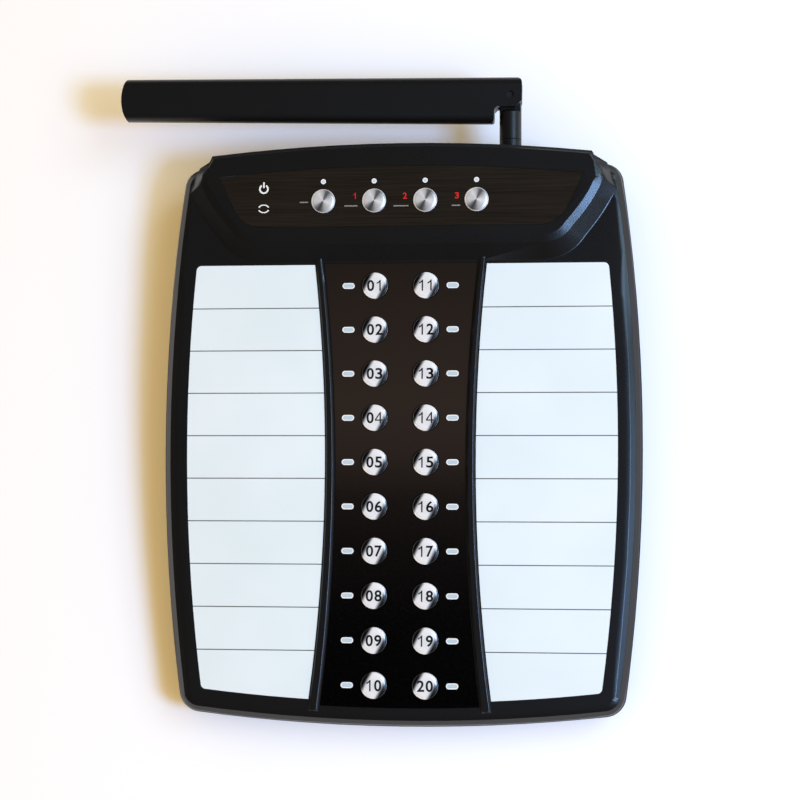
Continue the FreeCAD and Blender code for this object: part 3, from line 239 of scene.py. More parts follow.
def noise(spot, scale, detail=2.0, stretch=(1, 1, 1)):
    """A noise with so many specks to a millimetre, stretched where a finish is drawn out."""
    if stretch != (1, 1, 1):
        spot = spot.node("ShaderNodeVectorMath", {"operation": "MULTIPLY"}, {0: spot, 1: stretch})
    return spot.node("ShaderNodeTexNoise", values={"Vector": spot, "Scale": scale, "Detail": detail})


print("a face millimetre is", MM, "m")

# %% [markdown]
# ## Moulded plastic
# The case and antenna are black ABS with a spark-eroded texture: tiny pits that spread a highlight
# and give it a sparkle. Two noises make it, a fine one for the pits and a slow one for the uneven
# sheen that hands and moulding leave. The reflection is kept low so that black stays black. The
# cover's walls and the strip behind the head keep the coarse texture of the mould, so they are
# rougher than the polished face.

# %% Moulded plastic
COARSE_REAR = 133.0
COARSE_BELOW = -3.4
HEAD_EDGE = 5.3


def moulded(name, colour, worn, roughness, grain, depth, sheen, coarser=0.0):
    """Black plastic, rougher on the cover's walls and behind the head where that is asked."""
    material, spot = new_finish(name)
    along, out = spot.part("Y"), spot.part("Z")
    rear = along.fade(COARSE_REAR, COARSE_REAR + 4.0) * out.fade(HEAD_EDGE, HEAD_EDGE - 0.7)
    coarse = spot.math("MAXIMUM", out.fade(COARSE_BELOW, COARSE_BELOW - 2.0), rear)
    pits = noise(spot, grain, 3.0)
    slow = noise(spot, 0.03, 3.0)
    speck = noise(spot, grain * 0.45, 2.0).fade(0.35, 0.75)
    colour = (slow * 0.6 + speck * 0.4).blend(colour, worn)
    return close_finish(material, spot, {
        "Base Color": colour,
        "Roughness": roughness - 0.06 + slow * 0.06 + pits * 0.08 + coarse * coarser,
        "Specular IOR Level": sheen,
    }, pits, depth)


case_plastic = moulded(
    "case_plastic", paint(14, 12, 11), paint(20, 17, 16),
    roughness=0.28, grain=2.2, depth=0.03, sheen=0.55, coarser=0.5,
)
antenna_plastic = moulded(
    "antenna_plastic", paint(15, 13, 12), paint(22, 19, 18), roughness=0.36, grain=4.0, depth=0.03, sheen=0.4,
)
tray_plastic = moulded(
    "tray_plastic", paint(15, 14, 14), paint(22, 21, 21), roughness=0.4, grain=2.6, depth=0.03, sheen=0.4,
)
foot_rubber = moulded(
    "foot_rubber", paint(26, 26, 27), paint(38, 38, 39), roughness=0.7, grain=1.2, depth=0.03, sheen=0.15,
)
print("made", case_plastic.name, antenna_plastic.name, tray_plastic.name, foot_rubber.name)

# %% [markdown]
# ## Printed films
# The keypad film is a dark brown-black polyester print, a little lighter towards the head. The head
# film has a print of fine brushed lines from side to side. A noise that is stretched along x and
# very tight along y draws such lines.

# %% Printed films
KEYPAD_HALF_LENGTH = 100
KEYPAD_SHADES = (
    (-90, (2, 1, 1)), (-58, (4, 3, 3)), (-27, (14, 10, 9)), (-7, (23, 18, 15)), (14, (40, 32, 28)),
    (34, (44, 36, 30)), (96, (34, 27, 23)),
)


def keypad_film():
    """The keypad's print, whose shade follows the rows."""
    material, spot = new_finish("keypad_film")
    mottle = noise(spot, 0.9, 4.0)
    stops = [((row + KEYPAD_HALF_LENGTH) / (2 * KEYPAD_HALF_LENGTH), paint(*colour))
             for row, colour in KEYPAD_SHADES]
    share = spot.part("Y") * (0.5 / KEYPAD_HALF_LENGTH) + 0.5 + (mottle - 0.5) * 0.03
    colour = spot.node("ShaderNodeValToRGB", {"stops": stops}, {"Fac": share})
    colour = (mottle.fade(0.45, 0.9) * 0.12).blend(colour, paint(50, 42, 38))
    return close_finish(material, spot, {
        "Base Color": colour,
        "Roughness": 0.28 + mottle * 0.1,
        "Specular IOR Level": 0.05,
    }, mottle, 0.003)


def head_film():
    """The head's print of fine lines from side to side."""
    material, spot = new_finish("head_film")
    hairs = noise(spot, 1.0, 4.0, (0.035, 5.5, 1))
    streaks = noise(spot, 1.0, 2.0, (0.012, 0.9, 1))
    colour = hairs.fade(0.3, 0.75).blend(paint(22, 18, 14), paint(44, 38, 31))
    colour = (streaks * 0.35).blend(colour, paint(36, 30, 25))
    return close_finish(material, spot, {
        "Base Color": colour,
        "Roughness": 0.3 + hairs * 0.15,
        "Specular IOR Level": 0.06,
    }, hairs, 0.004)


keypad_print = keypad_film()
head_print = head_film()
print("made", keypad_print.name, head_print.name)

# %% [markdown]
# ## Label cards
# Each card is pale paper with nine thin dark rules, one under each name. The rules are evenly
# spaced, so a repeating ramp along y draws them all, and the card's own outline cuts them to length.

# %% Label cards
FIRST_RULE = 75.98
RULE_PITCH = 18.372
RULE_WIDTH = 0.42
CARD_FRONT = -88.0


def card_paper():
    """Pale paper with its dark rules."""
    material, spot = new_finish("card_paper")
    along = spot.part("Y")
    from_rule = spot.math("PINGPONG", along - FIRST_RULE, RULE_PITCH / 2)
    paper = noise(spot, 6.0, 3.0)
    cloud = noise(spot, 0.02, 2.0)
    between = along.fade(FIRST_RULE + 2.0, FIRST_RULE + 1.0) * along.fade(CARD_FRONT, CARD_FRONT + 2.0)
    rule = (1 - from_rule.fade(RULE_WIDTH * 0.3, RULE_WIDTH * 0.7)) * between
    colour = cloud.fade(0.3, 0.7).blend(paint(226, 239, 242), paint(233, 244, 247))
    colour = (paper * 0.08).blend(colour, paint(200, 214, 220))
    colour = rule.blend(colour, paint(78, 82, 86))
    return close_finish(material, spot, {
        "Base Color": colour,
        "Roughness": 0.4 + paper * 0.1,
        "Specular IOR Level": 0.3,
    }, paper, 0.004)


ruled_card = card_paper()
print("made", ruled_card.name, "with a rule every", RULE_PITCH, "mm")

# %% [markdown]
# ## Metal key caps
# The numbered caps are plated and brushed in one direction. Their colour carries a painted highlight:
# a broad bright band with a dark side on either hand, and a lighter painted rim. The function caps are
# turned on a lathe, and their colour carries painted reflections in wedges that meet in the middle,
# with a bright painted rim. Both painted looks come from where a spot lies on its own cap. The caps
# stand on a regular grid, so a wrap of x and y finds the nearest cap's middle.

# %% Brushed and turned metal
KEY_COLUMN = 11.0
COLUMN_PITCH = 22.0
ROW_PITCH = 19.0
ROWS = 10
CALL_RADIUS = 5.65
FUNCTION_RADIUS = 5.15
FUNCTION_ROW = 121.6
# The slant and width of the painted highlight band on the numbered caps.
PAINTED_BAND_TURN = math.radians(62)
PAINTED_BAND_FADE = (2.7, 4.6)
ONE_ROW = 200.0
# Greys of the painted reflection wedges on the function caps, by the turn round the cap.
PAINTED_WEDGE_GREYS = (
    (0.0, 228), (0.055, 210), (0.12, 120), (0.17, 50), (0.215, 95), (0.28, 180), (0.36, 215), (0.44, 250),
    (0.5, 240), (0.57, 205), (0.61, 170), (0.66, 88), (0.70, 100), (0.75, 200), (0.83, 245), (0.9, 225),
    (1.0, 228),
)


def on_cap(spot, row_centre, row_pitch):
    """Where a spot lies from the middle of its own cap: across, along and how far out."""
    x, y = [
        spot.node("ShaderNodeMath", {"operation": "WRAP"}, {0: from_first, 1: pitch / 2, 2: -pitch / 2})
        for from_first, pitch in (
            (spot.part("X") - KEY_COLUMN, COLUMN_PITCH), (spot.part("Y") - row_centre, row_pitch),
        )
    ]
    return x, y, length_of(x, y)


def length_of(x, y):
    """The length of an arrow with these two sides."""
    return x.math("SQRT", x * x + y * y)


def brushed_metal_painted_highlight():
    """A painted highlight: a broad bright band with dark sides on either hand, and a painted rim light."""
    material, spot = new_finish("brushed_metal_painted_highlight")
    x, y, radius = on_cap(spot, ROW_PITCH / 2, ROW_PITCH)
    over = abs(x * math.sin(PAINTED_BAND_TURN) - y * math.cos(PAINTED_BAND_TURN))
    run = x * math.cos(PAINTED_BAND_TURN) + y * math.sin(PAINTED_BAND_TURN)
    hairs = noise(spot, 1.0, 3.0, (7.0, 3.5, 1))
    # Painted highlight mask: 1 in a bright band across the cap, 0 on its painted dark sides.
    painted_band = 1 - (over + hairs * 0.5).fade(*PAINTED_BAND_FADE)
    # A thin ring for a painted rim light.
    rim = radius.fade(5.2, 5.35) * (1 - radius.fade(5.5, 5.62))
    # The painted band and dark sides, greyer along the band's middle, then the rim light and the brushing
    # grain.
    colour = painted_band.blend(paint(46, 37, 32), paint(250, 250, 250))
    colour = (painted_band * (1 - abs(run).fade(0.0, 4.5)) * 0.35).blend(colour, paint(205, 205, 207))
    colour = (rim * (1 - painted_band) * 0.6).blend(colour, paint(150, 136, 120))
    colour = (hairs.fade(0.4, 0.8) * 0.12).blend(colour, paint(120, 120, 122))
    return close_finish(material, spot, {
        "Base Color": colour,
        # The painted band is also made less metallic.
        "Metallic": 1.0 - painted_band * 0.85,
        "Roughness": 0.3 + hairs * 0.12,
    }, hairs, 0.004)


def turned_metal_painted_reflection():
    """Painted reflections in wedges that meet in the middle, fine rings and a bright painted rim."""
    material, spot = new_finish("turned_metal_painted_reflection")
    x, y, radius = on_cap(spot, FUNCTION_ROW, ONE_ROW)
    angle = spot.math("ARCTAN2", y, x) / math.tau + 0.5
    stops = [(turn, paint(level, level, level)) for turn, level in PAINTED_WEDGE_GREYS]
    # Painted reflections: light and dark wedges by the turn round the cap.
    painted_wedges = spot.node("ShaderNodeValToRGB", {"stops": stops}, {"Fac": angle})
    rings = spot.node(
        "ShaderNodeTexNoise", {"noise_dimensions": "1D"}, {"W": radius, "Scale": 9.0, "Detail": 3.0}
    )
    # A painted highlight on the cap's rim.
    rim = radius.fade(4.75, 4.95)
    colour = rim.blend(painted_wedges, paint(236, 236, 238))
    colour = (rings.fade(0.35, 0.75) * 0.18).blend(colour, paint(140, 140, 142))
    return close_finish(material, spot, {
        "Base Color": colour,
        "Metallic": 0.3,
        "Roughness": 0.26 + rings * 0.14,
    }, rings, 0.008)


call_metal = brushed_metal_painted_highlight()
function_metal = turned_metal_painted_reflection()
print("made", call_metal.name, function_metal.name)

# %% [markdown]
# ## Inks and lamp windows
# Figures, signs and the rims of the lamp windows are silk-screened. A print is never quite even, so
# each ink gets a little mottle and its own gloss. The windows themselves are frosted and faintly
# blue, lighter where the film is thin.

# %% Inks and lamp windows
def ink(name, colour, thin, roughness):
    """A print that is thinner in places."""
    material, spot = new_finish(name)
    mottle = noise(spot, 4.0, 3.0)
    return close_finish(material, spot, {
        "Base Color": (mottle.fade(0.35, 0.8) * 0.5).blend(colour, thin),
        "Roughness": roughness + mottle * 0.1,
        "Specular IOR Level": 0.25,
    }, mottle, 0.002)


black_ink = ink("black_ink", paint(8, 8, 8), paint(18, 17, 16), roughness=0.5)
white_ink = ink("white_ink", paint(240, 243, 244), paint(224, 228, 230), roughness=0.45)
grey_ink = ink("grey_ink", paint(150, 146, 140), paint(120, 116, 110), roughness=0.45)
red_ink = ink("red_ink", paint(226, 32, 26), paint(190, 24, 20), roughness=0.4)
window_frost = ink("window_frost", paint(186, 205, 214), paint(205, 219, 226), roughness=0.3)
print("made", black_ink.name, white_ink.name, grey_ink.name, red_ink.name, window_frost.name)

# %% [markdown]
# ## Finishes inside the case
# What is under the cover is still drawn: it shows when the model is opened. One helper makes all
# of these plain technical finishes, each with its own grain, unevenness and shine.

# %% Technical finishes
GRAIN_DEPTH = 0.01


def technical(name, colour, second, roughness, metallic=0.0, grain=1.5, stretch=(1, 1, 1)):
    """A plain finish of two close colours in a grain."""
    material, spot = new_finish(name)
    grains = noise(spot, grain, 4.0, stretch)
    return close_finish(material, spot, {
        "Base Color": grains.fade(0.3, 0.75).blend(colour, second),
        "Roughness": roughness - 0.05 + grains * 0.12,
        "Metallic": metallic,
    }, grains, GRAIN_DEPTH)


inside = {
    "board": technical("board_green", paint(24, 84, 48), paint(36, 104, 60), 0.35, grain=0.5),
    "switch": technical("switch_black", paint(24, 24, 25), paint(36, 36, 38), 0.45),
    "lamp": technical("lamp_cloudy", paint(216, 220, 224), paint(234, 236, 238), 0.25),
    "light_guide": technical("guide_clear", paint(206, 214, 220), paint(224, 230, 234), 0.15),
    "shield": technical(
        "shield_tin", paint(170, 170, 166), paint(196, 196, 192), 0.35,
        metallic=1.0, grain=0.8, stretch=(0.2, 3, 1),
    ),
    "chip": technical("chip_epoxy", paint(26, 26, 28), paint(38, 38, 40), 0.6, grain=3.0),
    "capacitor": technical("capacitor_case", paint(196, 150, 60), paint(214, 170, 78), 0.4),
    "inlet": technical("inlet_black", paint(18, 18, 19), paint(30, 30, 32), 0.45, grain=2.5),
    "contact": technical(
        "contact_brass", paint(206, 170, 96), paint(222, 190, 120), 0.3, metallic=1.0, grain=2.0,
    ),
    "spring_steel": technical(
        "plated_steel", paint(150, 150, 152), paint(178, 178, 182), 0.3,
        metallic=1.0, grain=2.0, stretch=(1, 4, 1),
    ),
    "lead": technical("lead_jacket", paint(36, 26, 22), paint(50, 38, 32), 0.55),
}
print("made", len(inside), "technical finishes")

# %% [markdown]
# ## Dressing the model's own nodes
# A node whose shape is right stays as it is and only gets a better finish in its material slot. Two
# nodes leave their slot's finish: the tray is duller than the cover, and the hinge pin gets a near-black
# finish that paints the shade of its recessed hole.

# %% Dressing the nodes
outside = {
    "case": case_plastic, "keypad_film": keypad_print, "head_film": head_print, "label_card": ruled_card,
    "key_metal": call_metal, "antenna": antenna_plastic, "foot": foot_rubber,
}
finishes = {**inside, **outside}
slots = {part["node"]: part["material_slot"] for part in frame["record"]["subparts"]}
for name, item in frame["nodes"].items():
    item.data.materials.clear()
    item.data.materials.append(finishes[slots[name]])
frame["nodes"]["bottom_cover"].data.materials[0] = tray_plastic
# The hinge pin gets a near-black finish that paints the shade of its recessed hole.
pin_painted_shade = technical("pin_painted_shade_finish", paint(20, 19, 19), paint(32, 31, 31), 0.4)
frame["nodes"]["antenna_hinge_pin"].data.materials[0] = pin_painted_shade
print("dressed", len(slots), "nodes")

# %% [markdown]
# ## Placing a piece
# A bmesh is drawn in face millimetres, carried into the room as a mesh, shaded smooth up to a
# chosen angle, and set to ride on the body that moves it.

# %% Placing a piece
LOOSE_GAP = 0.002
FLAT_ANGLE = math.radians(0.6)


def place(bm, name, finishes, body, smooth=35.0, into=FACE_MM):
    """Turns a bmesh into a piece that rides on a body."""
    bm.transform(into)
    mesh = bpy.data.meshes.new(name)
    bm.to_mesh(mesh)
    bm.free()
    for finish in finishes:
        mesh.materials.append(finish)
    mesh.shade_smooth()
    mesh.set_sharp_from_angle(angle=math.radians(smooth))
    item = bpy.data.objects.new(name, mesh)
    bpy.context.collection.objects.link(item)
    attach(item, body)
    return item


def weigh_normals(item):
    """Lets the large flat faces keep their own shading beside a rounded edge."""
    modifier = item.modifiers.new("weighted", "WEIGHTED_NORMAL")
    modifier.keep_sharp = True


def merged(node):
    """A copy of a node in face millimetres, with its loose triangles joined to clean faces."""
    bm = bmesh.new()
    bm.from_mesh(frame["nodes"][node].data)
    bm.transform(INTO_FACE)
    bmesh.ops.remove_doubles(bm, verts=bm.verts, dist=LOOSE_GAP)
    bmesh.ops.dissolve_limit(bm, angle_limit=FLAT_ANGLE, verts=bm.verts, edges=bm.edges)
    bm.normal_update()
    return bm


def soften(bm, edges, width, segments):
    """Rounds some edges of a bmesh."""
    bmesh.ops.bevel(
        bm, geom=edges, offset=width, offset_type="OFFSET", segments=segments, profile=0.5,
        affect="EDGES", clamp_overlap=True, material=-1,
    )


def corner(edge):
    """How far an edge turns, in degrees, or 0 where it has no two faces."""
    return math.degrees(edge.calc_face_angle(0.0))


print("merged copies join points closer than", LOOSE_GAP, "mm")

# %% [markdown]
# ## The top cover
# The real shell has a soft rounding all round, a ridge beside each card, and a head that rises in a
# curved slope. The model draws each rounding as two or three flats. A merged copy keeps those exact
# outlines, so it can be shaped a little further, and a bevel along the edges between the flats then
# makes the rounding complete.

# %% The top cover
cover = merged("top_cover")


def clamp(value):
    """A value held between 0 and 1."""
    return min(1.0, max(0.0, value))


def step_out(point, x, y):
    """Moves a point by x outwards and by y to the rear, on either side of the case."""
    point.x += x * math.copysign(1, point.x)
    point.y += y


print("the merged cover has", len(cover.faces), "faces")

# %% [markdown]
# ## The shoulders of the head
# On the real head the slope runs round the corner in a full curve, and the model's shoulder is
# straight. Its long edges are cut into short ones, and their points are swelled outwards by a sine.
# Each side is cut by itself, or a cut would join the two sides across the whole face.

# %% The shoulders of the head
SHOULDER_REAR = Vector((82.9, 131.51, 0))
SHOULDER_RUN = Vector((70.67, 111.54, 0)) - SHOULDER_REAR
SHOULDER_OUT = Vector((-SHOULDER_RUN.y, SHOULDER_RUN.x, 0)).normalized()
SHOULDER_INSIDE = -0.7
SHOULDER_WIDTH = 10.5
FOOT_LEVEL = -0.05
BULGE = 1.5
BULGE_LEAD = 0.25
LONG_EDGE = 8


def along_shoulder(point):
    """How far a point lies along the shoulder, from 0 to 1, and how far outside it in millimetres."""
    folded = Vector((abs(point.x), point.y, 0)) - SHOULDER_REAR
    return folded.dot(SHOULDER_RUN) / SHOULDER_RUN.length_squared, folded.dot(SHOULDER_OUT)


def on_shoulder(point):
    """Whether a point lies on the shoulder's band, from its foot to the top of the head."""
    along, outside = along_shoulder(point)
    return point.z > FOOT_LEVEL and -0.1 < along < 1.15 and SHOULDER_INSIDE < outside < SHOULDER_WIDTH


for side in (-1, 1):
    long_edges = [
        edge for edge in cover.edges
        if edge.calc_length() > LONG_EDGE
        and all(on_shoulder(vert.co) and vert.co.x * side > 0 for vert in edge.verts)
    ]
    print("long edges on a shoulder:", len(long_edges))
    bmesh.ops.subdivide_edges(cover, edges=long_edges, cuts=7, use_grid_fill=True)
for vert in cover.verts:
    along, outside = along_shoulder(vert.co)
    if vert.co.z > FOOT_LEVEL and -BULGE_LEAD < along < 1 and outside > SHOULDER_INSIDE:
        swell = BULGE * math.sin(math.pi * (along + BULGE_LEAD) / (1 + BULGE_LEAD))
        swell *= clamp((SHOULDER_WIDTH + 1.5 - outside) / 2.5)
        step_out(vert.co, SHOULDER_OUT.x * swell, SHOULDER_OUT.y * swell)

# %% [markdown]
# ## The rim
# Along the sides the real rim starts further in and rolls over more slowly than the model's. The
# points where it starts step inwards, the next two rows sink, and one new row between them keeps
# the curve full. Towards the corners the change runs out, so that the corners keep their shape.

# %% The rim
RIM_WIDENING = 2.1
RIM_SWELL = 0.43
RIM_END = 96
RIM_TAPER = 16
RIM_INSIDE = 85
SECOND_ROW_INSIDE = 88
RIM_ROWS = ((-1.5, -0.8, 0.5), (-3.5, -2.8, 0.7))


def rim_share(vert):
    """1 along the straight of the rim, falling to 0 where the corners start."""
    return clamp((RIM_END - abs(vert.co.y)) / RIM_TAPER)


rim_start = [
    vert for vert in cover.verts
    if abs(vert.co.z) < 0.02 and abs(vert.co.x) > RIM_INSIDE and abs(vert.co.y) < RIM_END
    and any(0.85 < face.normal.z < 0.97 for face in vert.link_faces)
]
rungs = [
    edge for vert in rim_start for edge in vert.link_edges
    if edge.other_vert(vert).co.z < -0.5 and abs(edge.other_vert(vert).co.x) > abs(vert.co.x) + 1
]
print("the rim starts at", len(rim_start), "points and has", len(rungs), "rungs")
for vert in rim_start:
    step_out(vert.co, -RIM_WIDENING * rim_share(vert), 0)
for low_level, high_level, drop in RIM_ROWS:
    for vert in cover.verts:
        in_row = low_level < vert.co.z < high_level and abs(vert.co.x) > SECOND_ROW_INSIDE
        if in_row and abs(vert.co.y) < RIM_END:
            vert.co.z -= drop * rim_share(vert)
middles = bmesh.ops.subdivide_edges(cover, edges=rungs, cuts=1)["geom_inner"]
for vert in {item for item in middles if isinstance(item, bmesh.types.BMVert)}:
    vert.co.z += RIM_SWELL * rim_share(vert)

# %% [markdown]
# ## The rear corners
# Beside the head the outline of the real case has a small hollow. Two soft pulls, strongest in their
# middle and nothing at their reach, bring the model's points to it. Each is a place, a reach and a
# step outwards and to the rear.

# %% The rear corners
CORNER_FLOOR = -4.0
CORNER_PULLS = (
    (85.6, 138.9, 3.2, -1.4, -0.8),
    (80.6, 141.6, 2.6, 1.1, -0.1),
)
for x, y, reach, x_step, y_step in CORNER_PULLS:
    for vert in cover.verts:
        nearness = clamp(1.3 * (1 - math.hypot(abs(vert.co.x) - x, vert.co.y - y) / reach))
        if vert.co.z > CORNER_FLOOR:
            step_out(vert.co, x_step * nearness, y_step * nearness)
cover.normal_update()
print("pulled the corners at", len(CORNER_PULLS), "places a side")

# %% [markdown]
# ## Rounding the cover's edges
# A bevel needs to know its edges. They are found by how much they turn, by the level they lie at and
# by how their faces lean: first the rim, then the head, the foot of the slope and the ridges.

# %% Rounding the cover's edges
RIM_ROUNDING = 1.3
HEAD_ROUNDING = 1.5
FOOT_ROUNDING = 2.0
RIDGE_ROUNDING = 0.3
SLIGHT_TURN = 12
CLEAR_TURN = 20
SHARPEST_TURN = 60


def edges_at(low, high, least_turn, convex):
    """The edges between two levels that turn at least so far, as a ridge or as a hollow."""
    return [
        edge for edge in cover.edges
        if least_turn < corner(edge) < SHARPEST_TURN and edge.is_convex == convex
        and all(low < vert.co.z < high for vert in edge.verts)
    ]


def joins_slant(edge, low, high):
    """Whether one of the faces beside an edge leans between two values of its normal's z."""
    return any(low < face.normal.z < high for face in edge.link_faces)


def across_shoulder(edge):
    """Whether a short edge crosses the shoulder's band where it bends, and only needs shading."""
    return edge.calc_length() < 3.8 and all(
        82 < abs(vert.co.x) < 90 and 127 < vert.co.y < 134 for vert in edge.verts
    )


rim_edges = [edge for edge in edges_at(-7.0, -0.3, SLIGHT_TURN, True) if joins_slant(edge, 0.3, 0.97)]
soften(cover, rim_edges, RIM_ROUNDING, 3)
head_edges = [edge for edge in edges_at(3.0, 5.6, SLIGHT_TURN, True) if not across_shoulder(edge)]
soften(cover, head_edges, HEAD_ROUNDING, 4)
foot_edges = edges_at(-0.05, 0.05, CLEAR_TURN, False)
soften(cover, foot_edges, FOOT_ROUNDING, 4)
ridge_edges = [edge for edge in edges_at(0.1, 1.2, CLEAR_TURN, True) if joins_slant(edge, 0.6, 0.8)]
soften(cover, ridge_edges, RIDGE_ROUNDING, 2)
print("rounded", [len(edges) for edges in (rim_edges, head_edges, foot_edges, ridge_edges)], "edges")

# %% [markdown]
# ## The finished cover
# Where the head, its shoulder and the rim meet, the bevels leave a few hard facets. Moving each point
# a little towards the middle of its neighbours, a few times over, blends them. The flat top of the
# head and the inside of the shell stay out of it.

# %% The finished cover
REAR_CORNER = Vector((84.5, 136.0))
CORNER_REACH = 7.5
BLEND_FLOOR = -4.8
BLEND_TOP = 5.44
SMOOTHINGS = 4
near_corner = [
    vert for vert in cover.verts
    if (Vector((abs(vert.co.x), vert.co.y)) - REAR_CORNER).length < CORNER_REACH
    and BLEND_FLOOR < vert.co.z < BLEND_TOP and all(face.normal.z > 0.02 for face in vert.link_faces)
]
for turn in range(SMOOTHINGS):
    bmesh.ops.smooth_vert(
        cover, verts=near_corner, factor=0.5, use_axis_x=True, use_axis_y=True, use_axis_z=True
    )
print("smoothed", len(near_corner), "points at the rear corners")
case_top = place(cover, "case_top", [case_plastic], "console", 40)
weigh_normals(case_top)
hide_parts("top_cover")
print("the top cover has", len(case_top.data.polygons), "faces")

# %% [markdown]
# ## The tray
# The bottom cover closes the shell. Its lower edge is broken by a small radius. The edge is found in
# room coordinates, where the underside is level, and by how far out its points lie.

# %% The tray
TRAY_REACH = Vector((103.4, 146.7))
TRAY_ROUNDING = 0.8
UNDERSIDE_TOP = 0.05
tray = merged("bottom_cover")


def round_underside(edge):
    """Whether an edge runs round the outside of the tray's underside."""
    in_room = [FACE_MM @ vert.co / MM for vert in edge.verts]
    outermost = min(abs(vert.co.x) / TRAY_REACH.x + abs(vert.co.y) / TRAY_REACH.y for vert in edge.verts)
    return (corner(edge) > 60 and outermost > 0.9 and max(point.z for point in in_room) < UNDERSIDE_TOP
            and max(abs(point.x) for point in in_room) > 20)


low_edges = [edge for edge in tray.edges if round_underside(edge)]
print("edges under the tray:", len(low_edges))
soften(tray, low_edges, TRAY_ROUNDING, 2)
case_tray = place(tray, "case_tray", [tray_plastic], "console", 40)
weigh_normals(case_tray)
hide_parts("bottom_cover")

# %% [markdown]
# ## Key caps
# Each cap is a shallow turned cup: a straight side, a small rim, a shoulder and a flat top. A
# profile spun about the key's axis makes it in one go. It is written as steps inwards from the side
# and down from the top, so one list serves both sizes of key. The square plunger below is a
# stretched cube.

# %% Key caps
SPIN_STEPS = 48
PLUNGER_WIDTH = 3.8
CAP_FOOT = 0.3
CAP_SHOULDER = (
    (0, 0.5), (0.08, 0.32), (0.22, 0.25), (0.36, 0.27), (0.46, 0.31), (0.6, 0.26), (0.95, 0.12),
    (1.35, 0.03), (1.75, 0),
)


def turned(bm, profile, steps=SPIN_STEPS):
    """Spins a profile of (radius, height) about z."""
    verts = [bm.verts.new((radius, 0, height)) for radius, height in profile]
    edges = [bm.edges.new(pair) for pair in zip(verts, verts[1:])]
    bmesh.ops.spin(
        bm, geom=verts + edges, cent=(0, 0, 0), axis=(0, 0, 1), angle=math.tau, steps=steps, use_merge=True
    )
    bmesh.ops.remove_doubles(bm, verts=bm.verts, dist=0.001)
    bmesh.ops.recalc_face_normals(bm, faces=bm.faces)


def node_levels(node):
    """The lowest and highest level of a node, out of the face."""
    levels = [(INTO_FACE @ vert.co).z for vert in frame["nodes"][node].data.vertices]
    return min(levels), max(levels)


def side_level(node, radius):
    """The level where a cap's round side starts."""
    x_middle = sum((INTO_FACE @ box_corner).x for box_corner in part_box(node)) / 2
    verts = [INTO_FACE @ vert.co for vert in frame["nodes"][node].data.vertices]
    return min(vert.z for vert in verts if abs(vert.x - x_middle) > radius * 0.8)


def key_cap(node, radius, x, y, metal):
    """Draws a turned cap on its square plunger and gives the level of its top."""
    low, top = node_levels(node)
    side_low = side_level(node, radius)
    bm = bmesh.new()
    foot = [(0, side_low), (radius - CAP_FOOT, side_low), (radius, side_low + CAP_FOOT)]
    shoulder = [(radius - inwards, top - down) for inwards, down in CAP_SHOULDER]
    turned(bm, [*foot, *shoulder, (0, top)])
    made = bmesh.ops.create_cube(bm, size=1.0)["verts"]
    bmesh.ops.scale(bm, verts=made, vec=(PLUNGER_WIDTH, PLUNGER_WIDTH, side_low - low))
    bmesh.ops.translate(bm, verts=made, vec=(0, 0, (side_low + low) / 2))
    bmesh.ops.translate(bm, verts=bm.verts, vec=(x, y, 0))
    cap = place(bm, node + "_cap", [metal], node, smooth=50)
    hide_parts(node)
    return top


call_places = [(side * KEY_COLUMN, (4.5 - row) * ROW_PITCH) for side in (-1, 1) for row in range(ROWS)]
for number, (x, y) in enumerate(call_places, 1):
    call_top = key_cap("call_key_%02d" % number, CALL_RADIUS, x, y, call_metal)
function_places = [(-33.0 + column * COLUMN_PITCH, FUNCTION_ROW) for column in range(4)]
for number, (x, y) in enumerate(function_places, 1):
    function_top = key_cap("function_key_%d" % number, FUNCTION_RADIUS, x, y, function_metal)
print("call keys end at", round(call_top, 2), "and function keys at", round(function_top, 2))

# %% [markdown]
# ## Printed figures
# Each figure is typed with the built-in sans face, made a mesh, scaled to the measured height and
# width, and given a hair of thickness so that it sits on the surface like ink. The 1 and the 4 of
# these keys have other shapes than that face gives, so their outlines are drawn point by point.

# %% Printed figures
INK_THICKNESS = 0.02
BOLDER = 0.02
DIGIT_WIDTH = 0.64
DIGIT_PITCH = 0.776
HALF_DIGIT = 0.5
DRAWN = {
    "1": ([(0.137, 0), (0.137, 1), (0.057, 1), (-0.07, 0.85), (-0.232, 0.75), (-0.232, 0.63), (-0.105, 0.685),
           (0.014, 0.78), (0.014, 0)], [range(9)]),
    "4": ([(0.08, 0), (0.2, 0), (0.2, 0.23), (0.34, 0.23), (0.34, 0.34), (0.2, 0.34), (0.2, 1), (0.095, 1),
           (-0.34, 0.35), (-0.34, 0.23), (0.08, 0.23), (0.08, 0.34), (0.08, 0.8), (-0.22, 0.34)],
          [(0, 1, 2, 10), (2, 3, 4, 5), (10, 2, 5, 11), (9, 10, 11, 13, 8), (8, 13, 12, 7),
           (11, 5, 6, 7, 12)]),
}


def typed(digit):
    """One flat digit as a bmesh, in the typeface's own size."""
    curve = bpy.data.curves.new("type", "FONT")
    curve.body = digit
    curve.offset = BOLDER
    text = bpy.data.objects.new("type", curve)
    bpy.context.collection.objects.link(text)
    bpy.context.view_layer.update()
    mesh = bpy.data.meshes.new_from_object(text.evaluated_get(bpy.context.evaluated_depsgraph_get()))
    bpy.data.objects.remove(text)
    bm = bmesh.new()
    bm.from_mesh(mesh)
    bpy.data.meshes.remove(mesh)
    bmesh.ops.remove_doubles(bm, verts=bm.verts, dist=1e-5)
    reach = [[vert.co[axis] for vert in bm.verts] for axis in (0, 1)]
    low, high = [min(row) for row in reach], [max(row) for row in reach]
    bmesh.ops.translate(bm, verts=bm.verts, vec=(-(low[0] + high[0]) / 2, -low[1], 0))
    bmesh.ops.scale(bm, verts=bm.verts, vec=(DIGIT_WIDTH / (high[0] - low[0]), 1 / (high[1] - low[1]), 1))
    return bm


